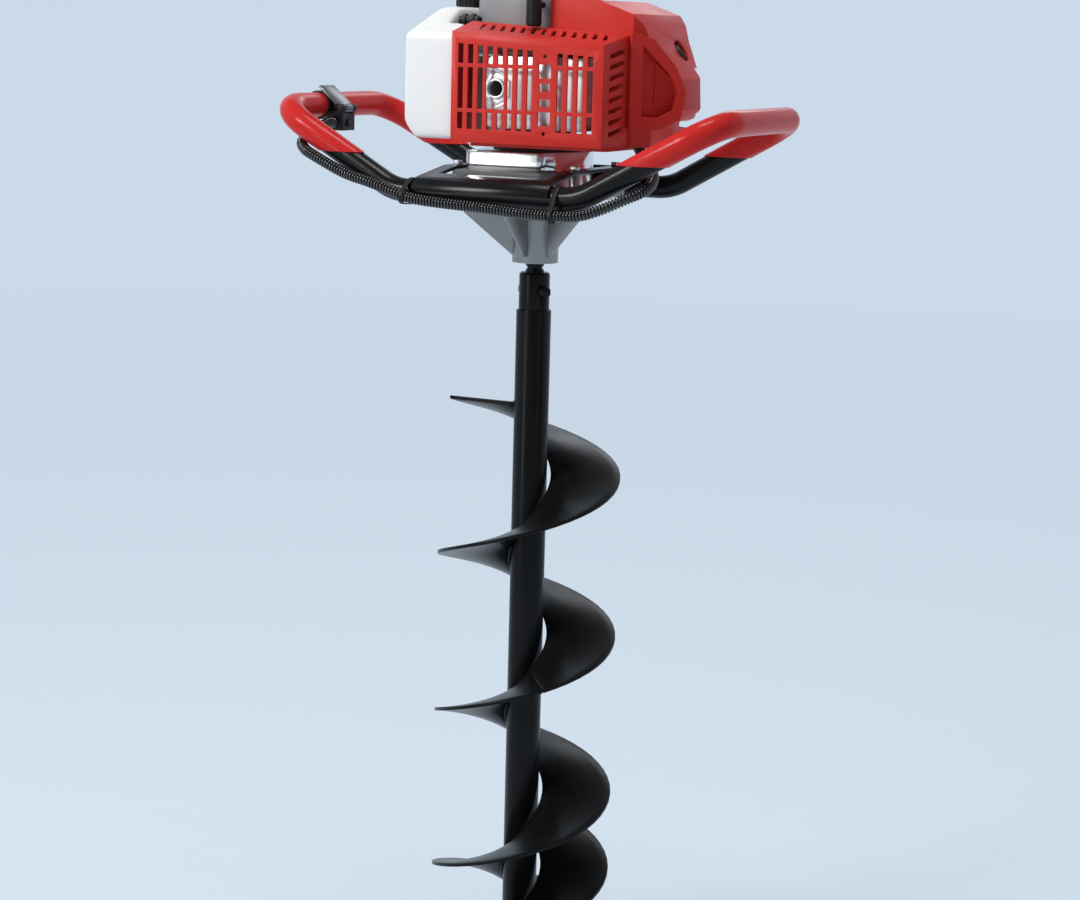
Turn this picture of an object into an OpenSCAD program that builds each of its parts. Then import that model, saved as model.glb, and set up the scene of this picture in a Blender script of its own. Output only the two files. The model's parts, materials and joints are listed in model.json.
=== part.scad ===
// One-man petrol earth auger: two-stroke engine over a reduction gear case,
// a tubular handle frame round it and a bolted-on spiral bit below.
// The bit's point is the origin, +Z runs up the drive axis, -Y is the front.

/* [Bit] */
// Length of the bit from its point to the top of its socket
bit_len = 800; // [700:10:900]
// Outside diameter of the bit tube
bit_tube_d = 38; // [36:0.5:40]
// Wall of the bit tube
bit_tube_wall = 2.3; // [2:0.1:2.6]
// Outside diameter of the spiral flight
flight_d = 200; // [120:5:240]
// Rise of the flight in one turn
flight_pitch = 180; // [150:5:200]
// Thickness of the flight
flight_t = 4; // [3:0.5:5]
// Bare tube and socket between the flight's top end and the top of the socket
flight_top_gap = 148; // [120:2:170]
// Height of the pilot point below the tube
point_h = 58; // [50:1:70]
// Length of the socket that stands out of the tube
socket_out = 41; // [38:1:50]
// Thickness of a cutter blade
blade_t = 4; // [3:0.5:5]
// Shank diameter of the bolt through the socket
socket_bolt_d = 8; // [6:1:8]

/* [Gear case] */
// Diameter of the output shaft
shaft_d = 20; // [18:0.5:20]
// Bare shaft between the socket and the gear case
shaft_gap = 11; // [8:1:16]
// Height of the lower case, from its neck to the case joint
lower_case_h = 79; // [76:1:90]
// Height of the upper case, from the case joint to its top
upper_case_h = 42; // [42:1:50]
// Outside radius of the round upper case
barrel_r = 60; // [59:0.5:63]
// Wall of the upper case
case_wall = 5; // [4:0.5:6]
// Radius of the neck round the output shaft
neck_r = 25; // [24.5:0.5:28]
// Thickness of a case web
web_t = 5; // [4:0.5:8]
// Gear module
gear_m = 1.25; // [1.2:0.05:1.3]
// Play between meshing teeth
gear_play = 0.4; // [0.3:0.05:0.5]

/* [Frame] */
// Outside diameter of the handle tube
rail_d = 25; // [22:0.5:28]
// Wall of the handle tube
rail_wall = 2; // [1.5:0.1:3]
// Thickness of the grip coating
grip_t = 1.2; // [0.8:0.1:2]
// Distance from the drive axis to a grip
grip_x = 250; // [240:1:270]
// Half the length of a grip, between its corners
grip_y = 120; // [110:1:126]
// Height of the grips above the rails
grip_rise = 81; // [70:1:95]
// Half the length of a rail, between its corners
rail_x = 105; // [100:1:115]
// Distance from the drive axis to a rail
rail_y = 128; // [126:1:135]
// Height of the lower edge of the coating above the rails
coat_rise = 37; // [32:1:42]
// Bend radius at the grip corners
grip_bend = 42; // [36:1:46]
// Bend radius at the rail corners
rail_bend = 60; // [50:1:66]
// Thickness of the base plate
plate_t = 3.5; // [2.5:0.5:4]
// Half the width of the base plate
plate_x = 77; // [76:1:84]
// Height of the base plate's flat above the rail centres
plate_rise = 25; // [24:1:28]

/* [Engine] */
// Height of the cylinder axis above the gear case
engine_rise = 68; // [68:0.5:72]
// Cylinder bore
bore_d = 44; // [42:0.5:44]
// Piston stroke
stroke = 32; // [28:1:34]
// Length of the connecting rod between its eyes
rod_len = 70; // [69:1:72]
// Radius of a crank web
crank_web_r = 33; // [31:0.5:33.5]
// Radius of the flywheel
flywheel_r = 52; // [46:1:54]
// Wall of the moulded covers
cover_t = 2.5; // [2:0.1:3]
// Radius of the starter housing
starter_r = 66; // [65:0.5:66.5]
// Radius of the exhaust outlet
outlet_r = 8; // [6:0.5:9]
// Wall of the fuel tank
tank_t = 2.5; // [2:0.1:3]

/* [Controls] */
// Outside diameter of the ribbed cable conduit
conduit_d = 12; // [10:0.5:13]
// Spacing of the conduit's ribs
rib_pitch = 3.5; // [3.3:0.1:5]
// Length of the throttle lever
lever_len = 36; // [32:1:42]
// Thickness of the throttle lever
lever_t = 1.6; // [1.2:0.1:1.8]

/* [Fits] */
// Radial clearance of a turning or sliding fit
run_gap = 0.05; // [0.03:0.01:0.1]
// Clearance of a piece that is set in or over another
seat_gap = 0.3; // [0.2:0.05:0.4]

/* [Hidden] */

red = [0.82, 0.13, 0.10];
black = [0.06, 0.06, 0.065];
steel = [0.55, 0.56, 0.58];
alloy = [0.72, 0.73, 0.75];
grey = [0.36, 0.37, 0.38];
white = [0.92, 0.92, 0.90];

// Levels up the drive axis
neck_z = bit_len + shaft_gap;
joint_z = neck_z + lower_case_h;
deck_z = joint_z + upper_case_h;
engine_z = deck_z + engine_rise;
rail_z = joint_z;
grip_z = rail_z + grip_rise;
plate_z = rail_z + plate_rise;
far = 1000;
carb_x = 77;

// Plain vector helpers
function unit(v) = v / norm(v);
function arc(c, r, a, b, n) = [for (i = [0:n]) c + r * [cos(a + (b - a) * i / n),
    sin(a + (b - a) * i / n)]];
function flip(pts) = [for (i = [len(pts) - 1:-1:0]) pts[i]];
function mirror_x(pts) = [for (p = flip(pts)) [-p.x, p.y]];
function side(v) = unit(cross(abs(v.z) < 0.9 ? [0, 0, 1] : [1, 0, 0], v));

// Moves every edge of an outline inwards by d; the outline runs anticlockwise
function inset(pts, d) = [for (i = [0:len(pts) - 1])
    let (n = len(pts), a = pts[(i + n - 1) % n], b = pts[i], c = pts[(i + 1) % n],
         u = unit(b - a), v = unit(c - b),
         nu = [-u.y, u.x], nv = [-v.y, v.x])
    b + d * (nu + nv) / (1 + nu * nv)];

// Turns Z onto the direction v, with the origin moved to p
module aim(p, v) {
    z = unit(v);
    x = side(z);
    y = cross(z, x);
    multmatrix([[x.x, y.x, z.x, p.x], [x.y, y.y, z.y, p.y], [x.z, y.z, z.z, p.z], [0, 0, 0, 1]])
        children();
}

// Round bar from one point to another
module bar(a, b, r) {
    aim(a, b - a) cylinder(h = norm(b - a), r = r, $fn = 64);
}

// Box given by two corners
module box(a, b) {
    translate(a) cube(b - a);
}

// Bar along straight runs with round bends at the inner points; each straight laps a little over
// the ends of its bends, which are a hair thinner
bend_lap = 1;
bend_slim = 0.05;

module bent_bar(pts, bends, r) {
    last = len(pts) - 1;
    reach = [for (i = [0:last]) i == 0 || i == last ? 0 :
        let (u = unit(pts[i - 1] - pts[i]), v = unit(pts[i + 1] - pts[i]))
        bends[i] * tan((180 - acos(u * v)) / 2)];
    for (i = [0:last - 1]) {
        d = unit(pts[i + 1] - pts[i]);
        a = pts[i] + d * (i == 0 ? 0 : reach[i] - bend_lap);
        b = pts[i + 1] - d * (i + 1 == last ? 0 : reach[i + 1] - bend_lap);
        bar(a, b, r);
    }
    for (i = [1:last - 1]) {
        u = unit(pts[i - 1] - pts[i]);
        v = unit(pts[i + 1] - pts[i]);
        turn = 180 - acos(u * v);
        hub = pts[i] + unit(u + v) * bends[i] / cos(turn / 2);
        x = unit(pts[i] + u * reach[i] - hub);
        z = unit(cross(x, pts[i] + v * reach[i] - hub));
        y = cross(z, x);
        multmatrix([[x.x, y.x, z.x, hub.x], [x.y, y.y, z.y, hub.y], [x.z, y.z, z.z, hub.z], [0, 0, 0, 1]])
            rotate_extrude(angle = turn, $fn = 96) translate([bends[i], 0])
                circle(r = r - bend_slim, $fn = 64);
    }
}

// Solid skin over a row of rings with the same number of points; loop joins the last to the first
module skin(rings, loop = false) {
    n = len(rings[0]);
    m = len(rings);
    spans = loop ? m - 1 : m - 2;
    walls = [for (k = [0:spans], j = [0:n - 1])
        let (a = k * n + j, b = k * n + (j + 1) % n,
             c = ((k + 1) % m) * n + (j + 1) % n, d = ((k + 1) % m) * n + j)
        each [[a, c, b], [a, d, c]]];
    caps = loop ? [] : [for (j = [1:n - 2]) each [[0, j, j + 1], [(m - 1) * n, (m - 1) * n + j + 1,
        (m - 1) * n + j]]];
    polyhedron(points = [for (r = rings) each r], faces = concat(walls, caps));
}

// Outline of a stub-tooth gear with involute flanks; one tooth is centred on +X
gear_angle = 25;
addendum = 0.75;
dedendum = 1.0;
function inv_at(rb, r) = sqrt(pow(max(r, rb) / rb, 2) - 1) * 180 / PI - acos(rb / max(r, rb));
function gear_outline(teeth) =
    let (rp = gear_m * teeth / 2, rb = rp * cos(gear_angle), ra = rp + addendum * gear_m,
         rr = rp - dedendum * gear_m, steps = 4, low = max(rb, rr),
         half = 90 / teeth - gear_play / 4 / rp * 180 / PI,
         flank = [for (i = [0:steps]) let (r = low + (ra - low) * i / steps)
             [r, half + inv_at(rb, rp) - inv_at(rb, r)]],
         foot = [[rr, flank[0][1]]],
         up = concat(foot, flank), down = [for (p = flip(up)) [p[0], -p[1]]])
    [for (k = [0:teeth - 1], p = concat([for (q = up) [q[0], -q[1]]], flip([for (q = up) q])))
        let (a = k * 360 / teeth + p[1]) p[0] * [cos(a), sin(a)]];
function tip_r(teeth) = gear_m * (teeth / 2 + addendum);
function root_r(teeth) = gear_m * (teeth / 2 - dedendum);

// Bit: tube, socket, flight, cutters and point
tube_r = bit_tube_d / 2;
tube_bore_r = tube_r - bit_tube_wall;
tube_top = bit_len - socket_out;
socket_r = tube_bore_r - run_gap;
socket_in = 30;
shaft_r = shaft_d / 2;
shaft_in = 36;
shaft_foot = bit_len - shaft_in;
socket_bolt_z = bit_len - 20;
socket_bolt_r = socket_bolt_d / 2;
bolt_turn = -32;
flight_top = bit_len - flight_top_gap;
flight_turns = (flight_top - point_h) / flight_pitch;
flight_r = flight_d / 2;
flight_start = 180;
weld_gap = 0.15;
seam_gap = 0.2;
inner_shift = 2;
inner_turn = 24;
ring_steps = 44;
tip_turns = 0.5;

function flight_inner(a) = tube_r + weld_gap + inner_shift + inner_shift * cos(a - inner_turn);
function flight_ring(a, z) =
    let (ri = flight_inner(a), c = [cos(a), sin(a), 0])
    [ri * c + [0, 0, z], flight_r * c + [0, 0, z],
     flight_r * c + [0, 0, z + flight_t], ri * c + [0, 0, z + flight_t]];

// Stretch of flight between two heights, turned about the axis by extra
module flight(z0, z1, extra = 0) {
    turns = (z1 - z0) / flight_pitch;
    n = ceil(turns * ring_steps);
    skin([for (i = [0:n]) let (z = z0 + (z1 - z0) * i / n)
        flight_ring(flight_start + extra + 360 * (z - flight_top) / flight_pitch, z)]);
}

flight_mid = point_h + (flight_top - point_h) / 2;
lower_end = flight_start + 360 * (point_h - flight_top) / flight_pitch;

module bit_tube() {
    color(black) difference() {
        translate([0, 0, point_h]) cylinder(h = tube_top - point_h, r = tube_r, $fn = 96);
        translate([0, 0, point_h - 1]) cylinder(h = tube_top - point_h + 2, r = tube_bore_r, $fn = 96);
    }
}

module bit_socket() {
    chamfer = 2;
    color(black) difference() {
        union() {
            translate([0, 0, tube_top - socket_in]) cylinder(h = socket_in + socket_out - chamfer,
                r = socket_r, $fn = 96);
            translate([0, 0, bit_len - chamfer])
                cylinder(h = chamfer, r1 = socket_r, r2 = socket_r - chamfer, $fn = 96);
        }
        translate([0, 0, shaft_foot - 1]) cylinder(h = shaft_in + 2, r = shaft_r + run_gap, $fn = 96);
        bolt_way();
    }
}

// Hole for the bolt across the socket
module bolt_way() {
    translate([0, 0, socket_bolt_z]) rotate([0, 90, bolt_turn])
        cylinder(h = far, r = socket_bolt_r + seat_gap / 2, center = true, $fn = 48);
}

module flight_upper() {
    color(black) flight(flight_mid + seam_gap, flight_top);
}

module flight_lower() {
    color(black) {
        flight(point_h, flight_mid);
        flight(point_h, point_h + tip_turns * flight_pitch, 180);
    }
}

blade_len = flight_r - tube_r - 6;
blade_w = 36;
blade_tilt = 24;

// Places a child at the leading lower end of each flight, X radial and Y along the flight
module at_cutters() {
    for (extra = [0, 180]) rotate(lower_end + extra) translate([tube_r + 5, -seat_gap, point_h]) children();
}

module cutter_blades() {
    color(steel) at_cutters() difference() {
        translate([0, 0, flight_t]) rotate([blade_tilt, 0, 0]) translate([0, -blade_w,
            -blade_t]) difference() {
            box([0, 0, 0], [blade_len, blade_w + blade_t, blade_t]);
            translate([0, -blade_t * 0.4, 0]) rotate([-45, 0, 0]) box([-1, -20, -20], [blade_len + 1, 0,
                20]);
        }
        box([-1, 0, -20], [blade_len + 1, far, 20]);
    }
}

module bit_bolts() {
    head = socket_bolt_r * 1.6;
    grip_half = socket_r + 1;
    color(steel) translate([0, 0, socket_bolt_z]) rotate([0, 90, bolt_turn]) {
        translate([0, 0, -grip_half - 8]) cylinder(h = 2 * grip_half + 8, r = socket_bolt_r, $fn = 48);
        translate([0, 0, grip_half]) cylinder(h = 6, r = head, $fn = 6);
        translate([0, 0, -grip_half - 6]) difference() {
            cylinder(h = 6, r = head, $fn = 6);
            translate([0, 0, -1]) cylinder(h = 8, r = socket_bolt_r + run_gap, $fn = 48);
        }
    }
}

point_w = 44;
point_t = 7;
plug_h = 22;

module pilot_point() {
    notch = 9;
    color(steel) {
        translate([0, 0, point_h - 3]) cylinder(h = plug_h + 3, r = tube_bore_r - run_gap, $fn = 64);
        rotate([90, 0, lower_end]) translate([0, 0, -point_t / 2]) linear_extrude(point_t) polygon([
            [0, 0], [7, notch + 3], [point_w / 2, notch], [point_w / 2, notch + 16], [tube_r, point_h - 1],
            [-tube_r, point_h - 1], [-point_w / 2, notch + 16], [-point_w / 2, notch], [-7, notch + 3]]);
    }
}

// Gear train: input pinion and output gear on the axis, layshaft in front
pinion_teeth = 10;
wheel_teeth = 50;
centre_gap = gear_m * (pinion_teeth + wheel_teeth) / 2;
lay = [0, -centre_gap, 0];
lay_bear_r = 9.5;
lay_bear_bore = 3;
lay_bear_h = 6;
out_bear_r = 21;
out_bear_h = 12;
in_bear_r = 14;
in_bear_bore = 6;
in_bear_h = 8;
top_wall = 7;
floor_z = joint_z;
roof_z = deck_z - top_wall;
out_gear_z = floor_z + 5;
out_gear_h = 14;
first_gear_h = 8;
first_gear_z = roof_z - 1 - first_gear_h;
low_bear_z = neck_z + 11;
high_bear_z = joint_z - 24;
seal_h = 7;
seal_z = neck_z + 2;
shaft_top = out_gear_z + out_gear_h + 2;
collar_r = shaft_r + 3;
boss_top = deck_z + 2;

module output_shaft() {
    groove = 1.5;
    color(black) difference() {
        union() {
            translate([0, 0, shaft_foot]) cylinder(h = shaft_top - shaft_foot, r = shaft_r, $fn = 96);
            translate([0, 0, high_bear_z + out_bear_h + seat_gap])
                cylinder(h = out_gear_z - high_bear_z - out_bear_h - seat_gap, r = collar_r, $fn = 64);
        }
        translate([0, 0, bit_len + 3]) difference() {
            cylinder(h = 4, r = shaft_r + 2, $fn = 64);
            translate([0, 0, -1]) cylinder(h = 6, r = shaft_r - groove, $fn = 64);
        }
        bolt_way();
    }
}

module output_gear() {
    color(steel) translate([0, 0, out_gear_z]) rotate(270 + 180 / wheel_teeth) difference() {
        linear_extrude(out_gear_h) polygon(gear_outline(wheel_teeth));
        translate([0, 0, -1]) cylinder(h = out_gear_h + 2, r = shaft_r + run_gap, $fn = 64);
    }
}

module layshaft() {
    foot = joint_z - lay_bear_h;
    color(steel) translate(lay) {
        translate([0, 0, foot]) cylinder(h = roof_z + lay_bear_h - foot, r = lay_bear_bore - run_gap,
            $fn = 48);
        translate([0, 0, out_gear_z - 2]) rotate(90)
            linear_extrude(out_gear_h + 4) polygon(gear_outline(pinion_teeth));
        translate([0, 0, out_gear_z + out_gear_h + 2])
            cylinder(h = first_gear_z + first_gear_h - out_gear_z - out_gear_h - 2,
                r = root_r(pinion_teeth), $fn = 48);
    }
}

module layshaft_gear() {
    color(steel) translate(lay + [0, 0, first_gear_z]) rotate(90 + 180 / wheel_teeth) difference() {
        linear_extrude(first_gear_h) polygon(gear_outline(wheel_teeth));
        translate([0, 0, -1]) cylinder(h = first_gear_h + 2, r = root_r(pinion_teeth) + run_gap, $fn = 48);
    }
}

drum_z = engine_z - 63;
drum_h = 20;
drum_web = 3;
drum_r = 29.5;
drum_bore_r = 27;
shoe_travel = 0.9;
shoe_play = 0.1;

module input_shaft() {
    foot = first_gear_z - 1;
    color(steel) {
        translate([0, 0, roof_z]) cylinder(h = drum_z - roof_z, r = in_bear_bore - run_gap, $fn = 64);
        translate([0, 0, foot]) rotate(270)
            linear_extrude(roof_z - foot) polygon(gear_outline(pinion_teeth));
    }
}

module clutch_drum() {
    color(steel) translate([0, 0, drum_z]) difference() {
        cylinder(h = drum_h, r = drum_r, $fn = 96);
        translate([0, 0, drum_web]) cylinder(h = drum_h, r = drum_bore_r, $fn = 96);
    }
}

base_flange_r = barrel_r + 8.5;
base_flange_h = 4;
box_x = 51;
box_right = 40;
box_front = -(centre_gap + tip_r(wheel_teeth) + 1.3 + 4);
box_z = deck_z - 20;
bolt_ring_r = barrel_r + 4.3;
case_bolt_r = 2.5;
corner_r = 7;

// Plan of the square front of the upper case, with round corners
function front_box(grow) = concat(
    arc([box_right - corner_r, box_front + corner_r], corner_r + grow, 270, 360, 8),
    [[box_right + grow, 0], [-box_x - grow, 0]],
    arc([-box_x + corner_r, box_front + corner_r], corner_r + grow, 180, 270, 8));

// Places a child at each bolt of the ring that holds the two case halves
module at_case_bolts() {
    for (k = [0:5]) rotate(60 * k) translate([bolt_ring_r, 0, joint_z]) children();
}

module gear_case_upper() {
    color(alloy) difference() {
        union() {
            translate([0, 0, joint_z]) cylinder(h = upper_case_h, r = barrel_r, $fn = 128);
            translate([0, 0, joint_z]) cylinder(h = base_flange_h, r = base_flange_r, $fn = 128);
            translate([0, 0, box_z]) linear_extrude(deck_z - box_z) polygon(front_box(0));
            translate([0, 0, deck_z]) cylinder(h = boss_top - deck_z, r = in_bear_r + case_wall, $fn = 96);
        }
        translate([0, 0, joint_z - 1]) cylinder(h = roof_z - joint_z + 1, r = barrel_r - case_wall,
            $fn = 128);
        translate(lay + [0, 0, first_gear_z - 1])
            cylinder(h = roof_z - first_gear_z + 1, r = tip_r(wheel_teeth) + 1, $fn = 96);
        translate(lay + [0, 0, roof_z - 1]) cylinder(h = lay_bear_h + 1, r = lay_bear_r, $fn = 64);
        translate([0, 0, roof_z - 1]) cylinder(h = far, r = in_bear_r, $fn = 96);
        at_case_bolts() cylinder(h = 20, r = case_bolt_r + seat_gap / 2, center = true, $fn = 32);
    }
}

lower_flange_r = 82;
lower_flange_h = 8;
post = [68, 55];
post_r = 6.2;
post_pad_r = 11;
plate_bolt_r = 3;
web_foot = neck_z + 7;
web_r = 78;
web_rise = 51;

// Places a child at each of the four posts that carry the base plate
module at_posts() {
    for (sx = [-1, 1], sy = [-1, 1]) translate([sx * post.x, sy * post.y, 0]) children();
}

module gear_case_lower() {
    flange_z = joint_z - lower_flange_h;
    post_top = plate_z - plate_t;
    color(alloy) difference() {
        union() {
            translate([0, 0, neck_z]) cylinder(h = lower_case_h, r = neck_r, $fn = 96);
            translate([0, 0, flange_z]) cylinder(h = lower_flange_h, r = lower_flange_r, $fn = 128);
            at_posts() {
                translate([0, 0, flange_z]) cylinder(h = lower_flange_h, r = post_pad_r, $fn = 64);
                translate([0, 0, flange_z]) cylinder(h = post_top - flange_z, r = post_r, $fn = 64);
            }
            for (k = [1:5]) rotate([90, 0, 30 + 60 * k]) translate([0, 0, -web_t / 2]) linear_extrude(web_t)
                polygon([[neck_r - 2, web_foot], [neck_r, web_foot], [web_r, web_foot + web_rise - 6],
                         [web_r, flange_z + 1], [neck_r - 2, flange_z + 1]]);
        }
        translate([0, 0, neck_z - 1]) cylinder(h = low_bear_z + out_bear_h - neck_z + 1, r = out_bear_r,
            $fn = 96);
        translate([0, 0, neck_z]) cylinder(h = far, r = collar_r + 1, $fn = 96);
        translate([0, 0, high_bear_z]) cylinder(h = far, r = out_bear_r, $fn = 96);
        translate(lay + [0, 0, joint_z - lay_bear_h]) cylinder(h = far, r = lay_bear_r, $fn = 64);
        at_posts() translate([0, 0, post_top - 16]) cylinder(h = far, r = plate_bolt_r + seat_gap / 2,
            $fn = 32);
        at_case_bolts() cylinder(h = 12, r = case_bolt_r + seat_gap / 2, center = true, $fn = 32);
    }
}

flange_lip = 13;
flange_h = 9;

module case_flange() {
    color(grey) translate([0, 0, box_z - flange_h]) linear_extrude(flange_h) difference() {
        polygon(concat(
            arc([box_right, box_front - flange_lip + corner_r], corner_r, 270, 360, 8),
            [[box_right + corner_r, -barrel_r / 3], [-box_x - corner_r, -barrel_r / 3]],
            arc([-box_x, box_front - flange_lip + corner_r], corner_r, 180, 270, 8)));
        circle(r = barrel_r + seat_gap, $fn = 128);
    }
}

module case_bolts() {
    color(steel) {
        at_case_bolts() {
            translate([0, 0, -5.5]) cylinder(h = base_flange_h + 5.5, r = case_bolt_r, $fn = 32);
            translate([0, 0, base_flange_h]) cylinder(h = 3.5, r = 3.8, $fn = 6);
        }
        at_posts() {
            translate([0, 0, plate_z - plate_t - 14]) cylinder(h = plate_t + 14, r = plate_bolt_r,
                $fn = 32);
            translate([0, 0, plate_z]) cylinder(h = 4.5, r = 5.6, $fn = 6);
        }
    }
}

// Ball bearing ring from its bore, outside radius and width
module bearing(bore, r, h) {
    difference() {
        cylinder(h = h, r = r - run_gap, $fn = 96);
        translate([0, 0, -1]) cylinder(h = h + 2, r = bore, $fn = 96);
    }
}

crank_bear_r = 17.5;
crank_bear_bore = 7.5;
crank_bear_h = 11;
crank_bear_z = 17;

module ball_bearings() {
    color(steel) {
        translate([0, 0, low_bear_z]) bearing(shaft_r + run_gap, out_bear_r, out_bear_h);
        translate([0, 0, high_bear_z]) bearing(shaft_r + run_gap, out_bear_r, out_bear_h);
        translate(lay + [0, 0, joint_z - lay_bear_h]) bearing(lay_bear_bore, lay_bear_r, lay_bear_h);
        translate(lay + [0, 0, roof_z]) bearing(lay_bear_bore, lay_bear_r, lay_bear_h);
        translate([0, 0, roof_z + seat_gap]) bearing(in_bear_bore, in_bear_r, in_bear_h);
        for (s = [-1, 1]) translate([0, 0,
            engine_z + s * (crank_bear_z + crank_bear_h / 2) - crank_bear_h / 2])
            bearing(crank_bear_bore, crank_bear_r, crank_bear_h);
    }
}

module output_seal() {
    color(black) translate([0, 0, seal_z]) bearing(shaft_r + run_gap, out_bear_r, seal_h);
}

// Handle frame: two bent tubes that meet under the base plate, and their coatings
rail_r = rail_d / 2;
grip_r = rail_r + grip_t;
handle_run = [[0, -rail_y, rail_z], [rail_x, -rail_y, rail_z], [grip_x, -grip_y, grip_z],
              [grip_x, grip_y, grip_z], [rail_x, rail_y, rail_z], [0, rail_y, rail_z]];
handle_bends = [0, rail_bend, grip_bend, grip_bend, rail_bend, 0];
coat_gap = 0.03;

module handle_tube() {
    color(black) difference() {
        bent_bar(handle_run, handle_bends, rail_r);
        bent_bar(handle_run, handle_bends, rail_r - rail_wall);
    }
}

module grip_coat() {
    color(red) intersection() {
        difference() {
            bent_bar(handle_run, handle_bends, grip_r);
            bent_bar(handle_run, handle_bends, rail_r + coat_gap);
        }
        translate([-far, -far, rail_z + coat_rise]) cube(2 * far);
    }
}

module right_handle_tube() {
    handle_tube();
}

module left_handle_tube() {
    mirror([1, 0, 0]) handle_tube();
}

module right_grip() {
    grip_coat();
}

module left_grip() {
    mirror([1, 0, 0]) grip_coat();
}

plate_flat = 70;
lip_angle = 5;
cut_x = box_x + corner_r + 3.5;
cut_front = box_front - flange_lip - 25;
cut_back = barrel_r + 12;

// Half profile of the base plate at a depth below its top face, out to the lip round the rail
function plate_edge(depth) =
    concat([[0, plate_z - depth], [plate_flat, plate_z - depth]],
           arc([rail_y, rail_z], rail_r + seat_gap + plate_t - depth, 81, lip_angle, 10));

module base_plate() {
    half = concat(plate_edge(0), flip(plate_edge(plate_t)));
    color(black) difference() {
        union() for (s = [0, 1]) mirror([0, s, 0]) translate([-plate_x, 0, 0]) rotate([90, 0, 90])
            linear_extrude(2 * plate_x) polygon(half);
        box([-cut_x, cut_front, rail_z - far], [cut_x, cut_back, rail_z + far]);
        at_posts() translate([0, 0, rail_z]) cylinder(h = far, r = plate_bolt_r + seat_gap / 2, $fn = 32);
    }
}

// Throttle: clamp on the left grip, thumb lever hinged on it, and stop button
clamp_front = -38;
clamp_w = 28;
strap_t = 2;
clamp_r = grip_r + run_gap + strap_t;
block = [12, 31, -27, -6];
lever_pivot = [-grip_x + 29, clamp_front, grip_z - 3];
lever_pin_r = 2.5;
ear_r = 5;
ear_w = 5;
lever_w = 33;
lever_tilt = 41.5;
button_r = 4;
button_at = [-grip_x + block[1], clamp_front + clamp_w / 2, grip_z - 19];
button_travel = 2;
button_out = 3;

module throttle_bracket() {
    color(black) difference() {
        union() {
            translate([-grip_x, clamp_front, grip_z]) rotate([-90, 0, 0]) cylinder(h = clamp_w,
                r = clamp_r, $fn = 96);
            box([-grip_x + block[0], clamp_front, grip_z + block[2]],
                [-grip_x + block[1], clamp_front + clamp_w, grip_z + block[3]]);
            for (y = [0, clamp_w - ear_w]) translate([lever_pivot.x, lever_pivot.y + y, lever_pivot.z])
                rotate([-90, 0, 0]) {
                    cylinder(h = ear_w, r = ear_r, $fn = 64);
                    translate([-3, 0, 0]) cube([5, 8, ear_w]);
                }
            translate(lever_pivot) rotate([-90, 0, 0]) cylinder(h = clamp_w, r = lever_pin_r, $fn = 48);
        }
        translate([-grip_x, -far / 2, grip_z]) rotate([-90, 0, 0]) cylinder(h = far,
            r = grip_r + run_gap, $fn = 96);
        translate(button_at - [button_travel + 1.5, 0, 0]) rotate([0, 90, 0]) cylinder(h = far,
            r = button_r + run_gap, $fn = 48);
        translate(lever_pivot + [0, ear_w, 0]) rotate([-90, 0, 0]) difference() {
            cylinder(h = clamp_w - 2 * ear_w, r = ear_r + 1, $fn = 64);
            translate([0, 0, -1]) cylinder(h = clamp_w, r = lever_pin_r, $fn = 48);
        }
    }
}

module throttle_lever() {
    knuckle = clamp_w - 2 * ear_w - 2 * seat_gap;
    color(steel) translate(lever_pivot) difference() {
        union() {
            translate([0, ear_w + seat_gap, 0]) rotate([-90, 0, 0]) cylinder(h = knuckle,
                r = ear_r - 0.5, $fn = 64);
            rotate([0, lever_tilt, 0]) {
                box([-lever_len, -2, -lever_t / 2], [-ear_r - 2, lever_w - 2, lever_t / 2]);
                box([-ear_r - 3, ear_w + 2, -lever_t / 2], [-lever_pin_r - 0.5, clamp_w - ear_w - 2,
                    lever_t / 2]);
            }
        }
        translate([0, -far / 2, 0]) rotate([-90, 0, 0]) cylinder(h = far, r = lever_pin_r + run_gap,
            $fn = 48);
    }
}

module stop_switch() {
    color(black) translate(button_at - [button_travel + 1.5 - button_travel - seat_gap, 0,
        0]) rotate([0, 90, 0])
        cylinder(h = button_out, r = button_r, $fn = 48);
}

// Route of the conduit from the throttle clamp, under the rail and up into the engine
throttle_shaft = [carb_x, 62];
arm_len = 16;
arm_z = engine_z - 22.5;
conduit_exit = [-grip_x + 20, clamp_front - seat_gap, grip_z - 19];
conduit_run = [conduit_exit, conduit_exit - [0, 13, 0],
    [18 - grip_x, -80, grip_z - 27], [22 - grip_x, -108, grip_z - 36], [36 - grip_x, -rail_y, grip_z - 43],
    [55 - grip_x, -rail_y - 10, grip_z - 50], [-rail_x - 53, -rail_y - 15, rail_z + 16],
    [-rail_x - 20, -rail_y - 19, rail_z + 8], [8 - rail_x, -rail_y - 20, rail_z],
    [30 - rail_x, -rail_y - 20.5, rail_z - 6], [-43, -rail_y - 20.5, rail_z - 9],
    [10, -rail_y - 19, rail_z - 12], [50, -rail_y - 19, rail_z - 15], [rail_x - 15, -rail_y - 19,
        rail_z - 16],
    [rail_x + 10, -rail_y - 18, rail_z - 14], [rail_x + 33, -rail_y - 13, rail_z - 6],
    [rail_x + 53, -rail_y - 4, rail_z + 4], [rail_x + 65, 8 - rail_y, rail_z + 11],
    [rail_x + 67, 28 - rail_y, rail_z + 18], [rail_x + 60, 48 - rail_y, rail_z + 28],
    [150, -62, engine_z - 71], [136, -46, engine_z - 60], [126, -36, engine_z - 49]];
conduit_r = conduit_d / 2;
valley_r = conduit_r - 1.3;
conduit_bore_r = conduit_r - 2.6;
spline_steps = 10;

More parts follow.
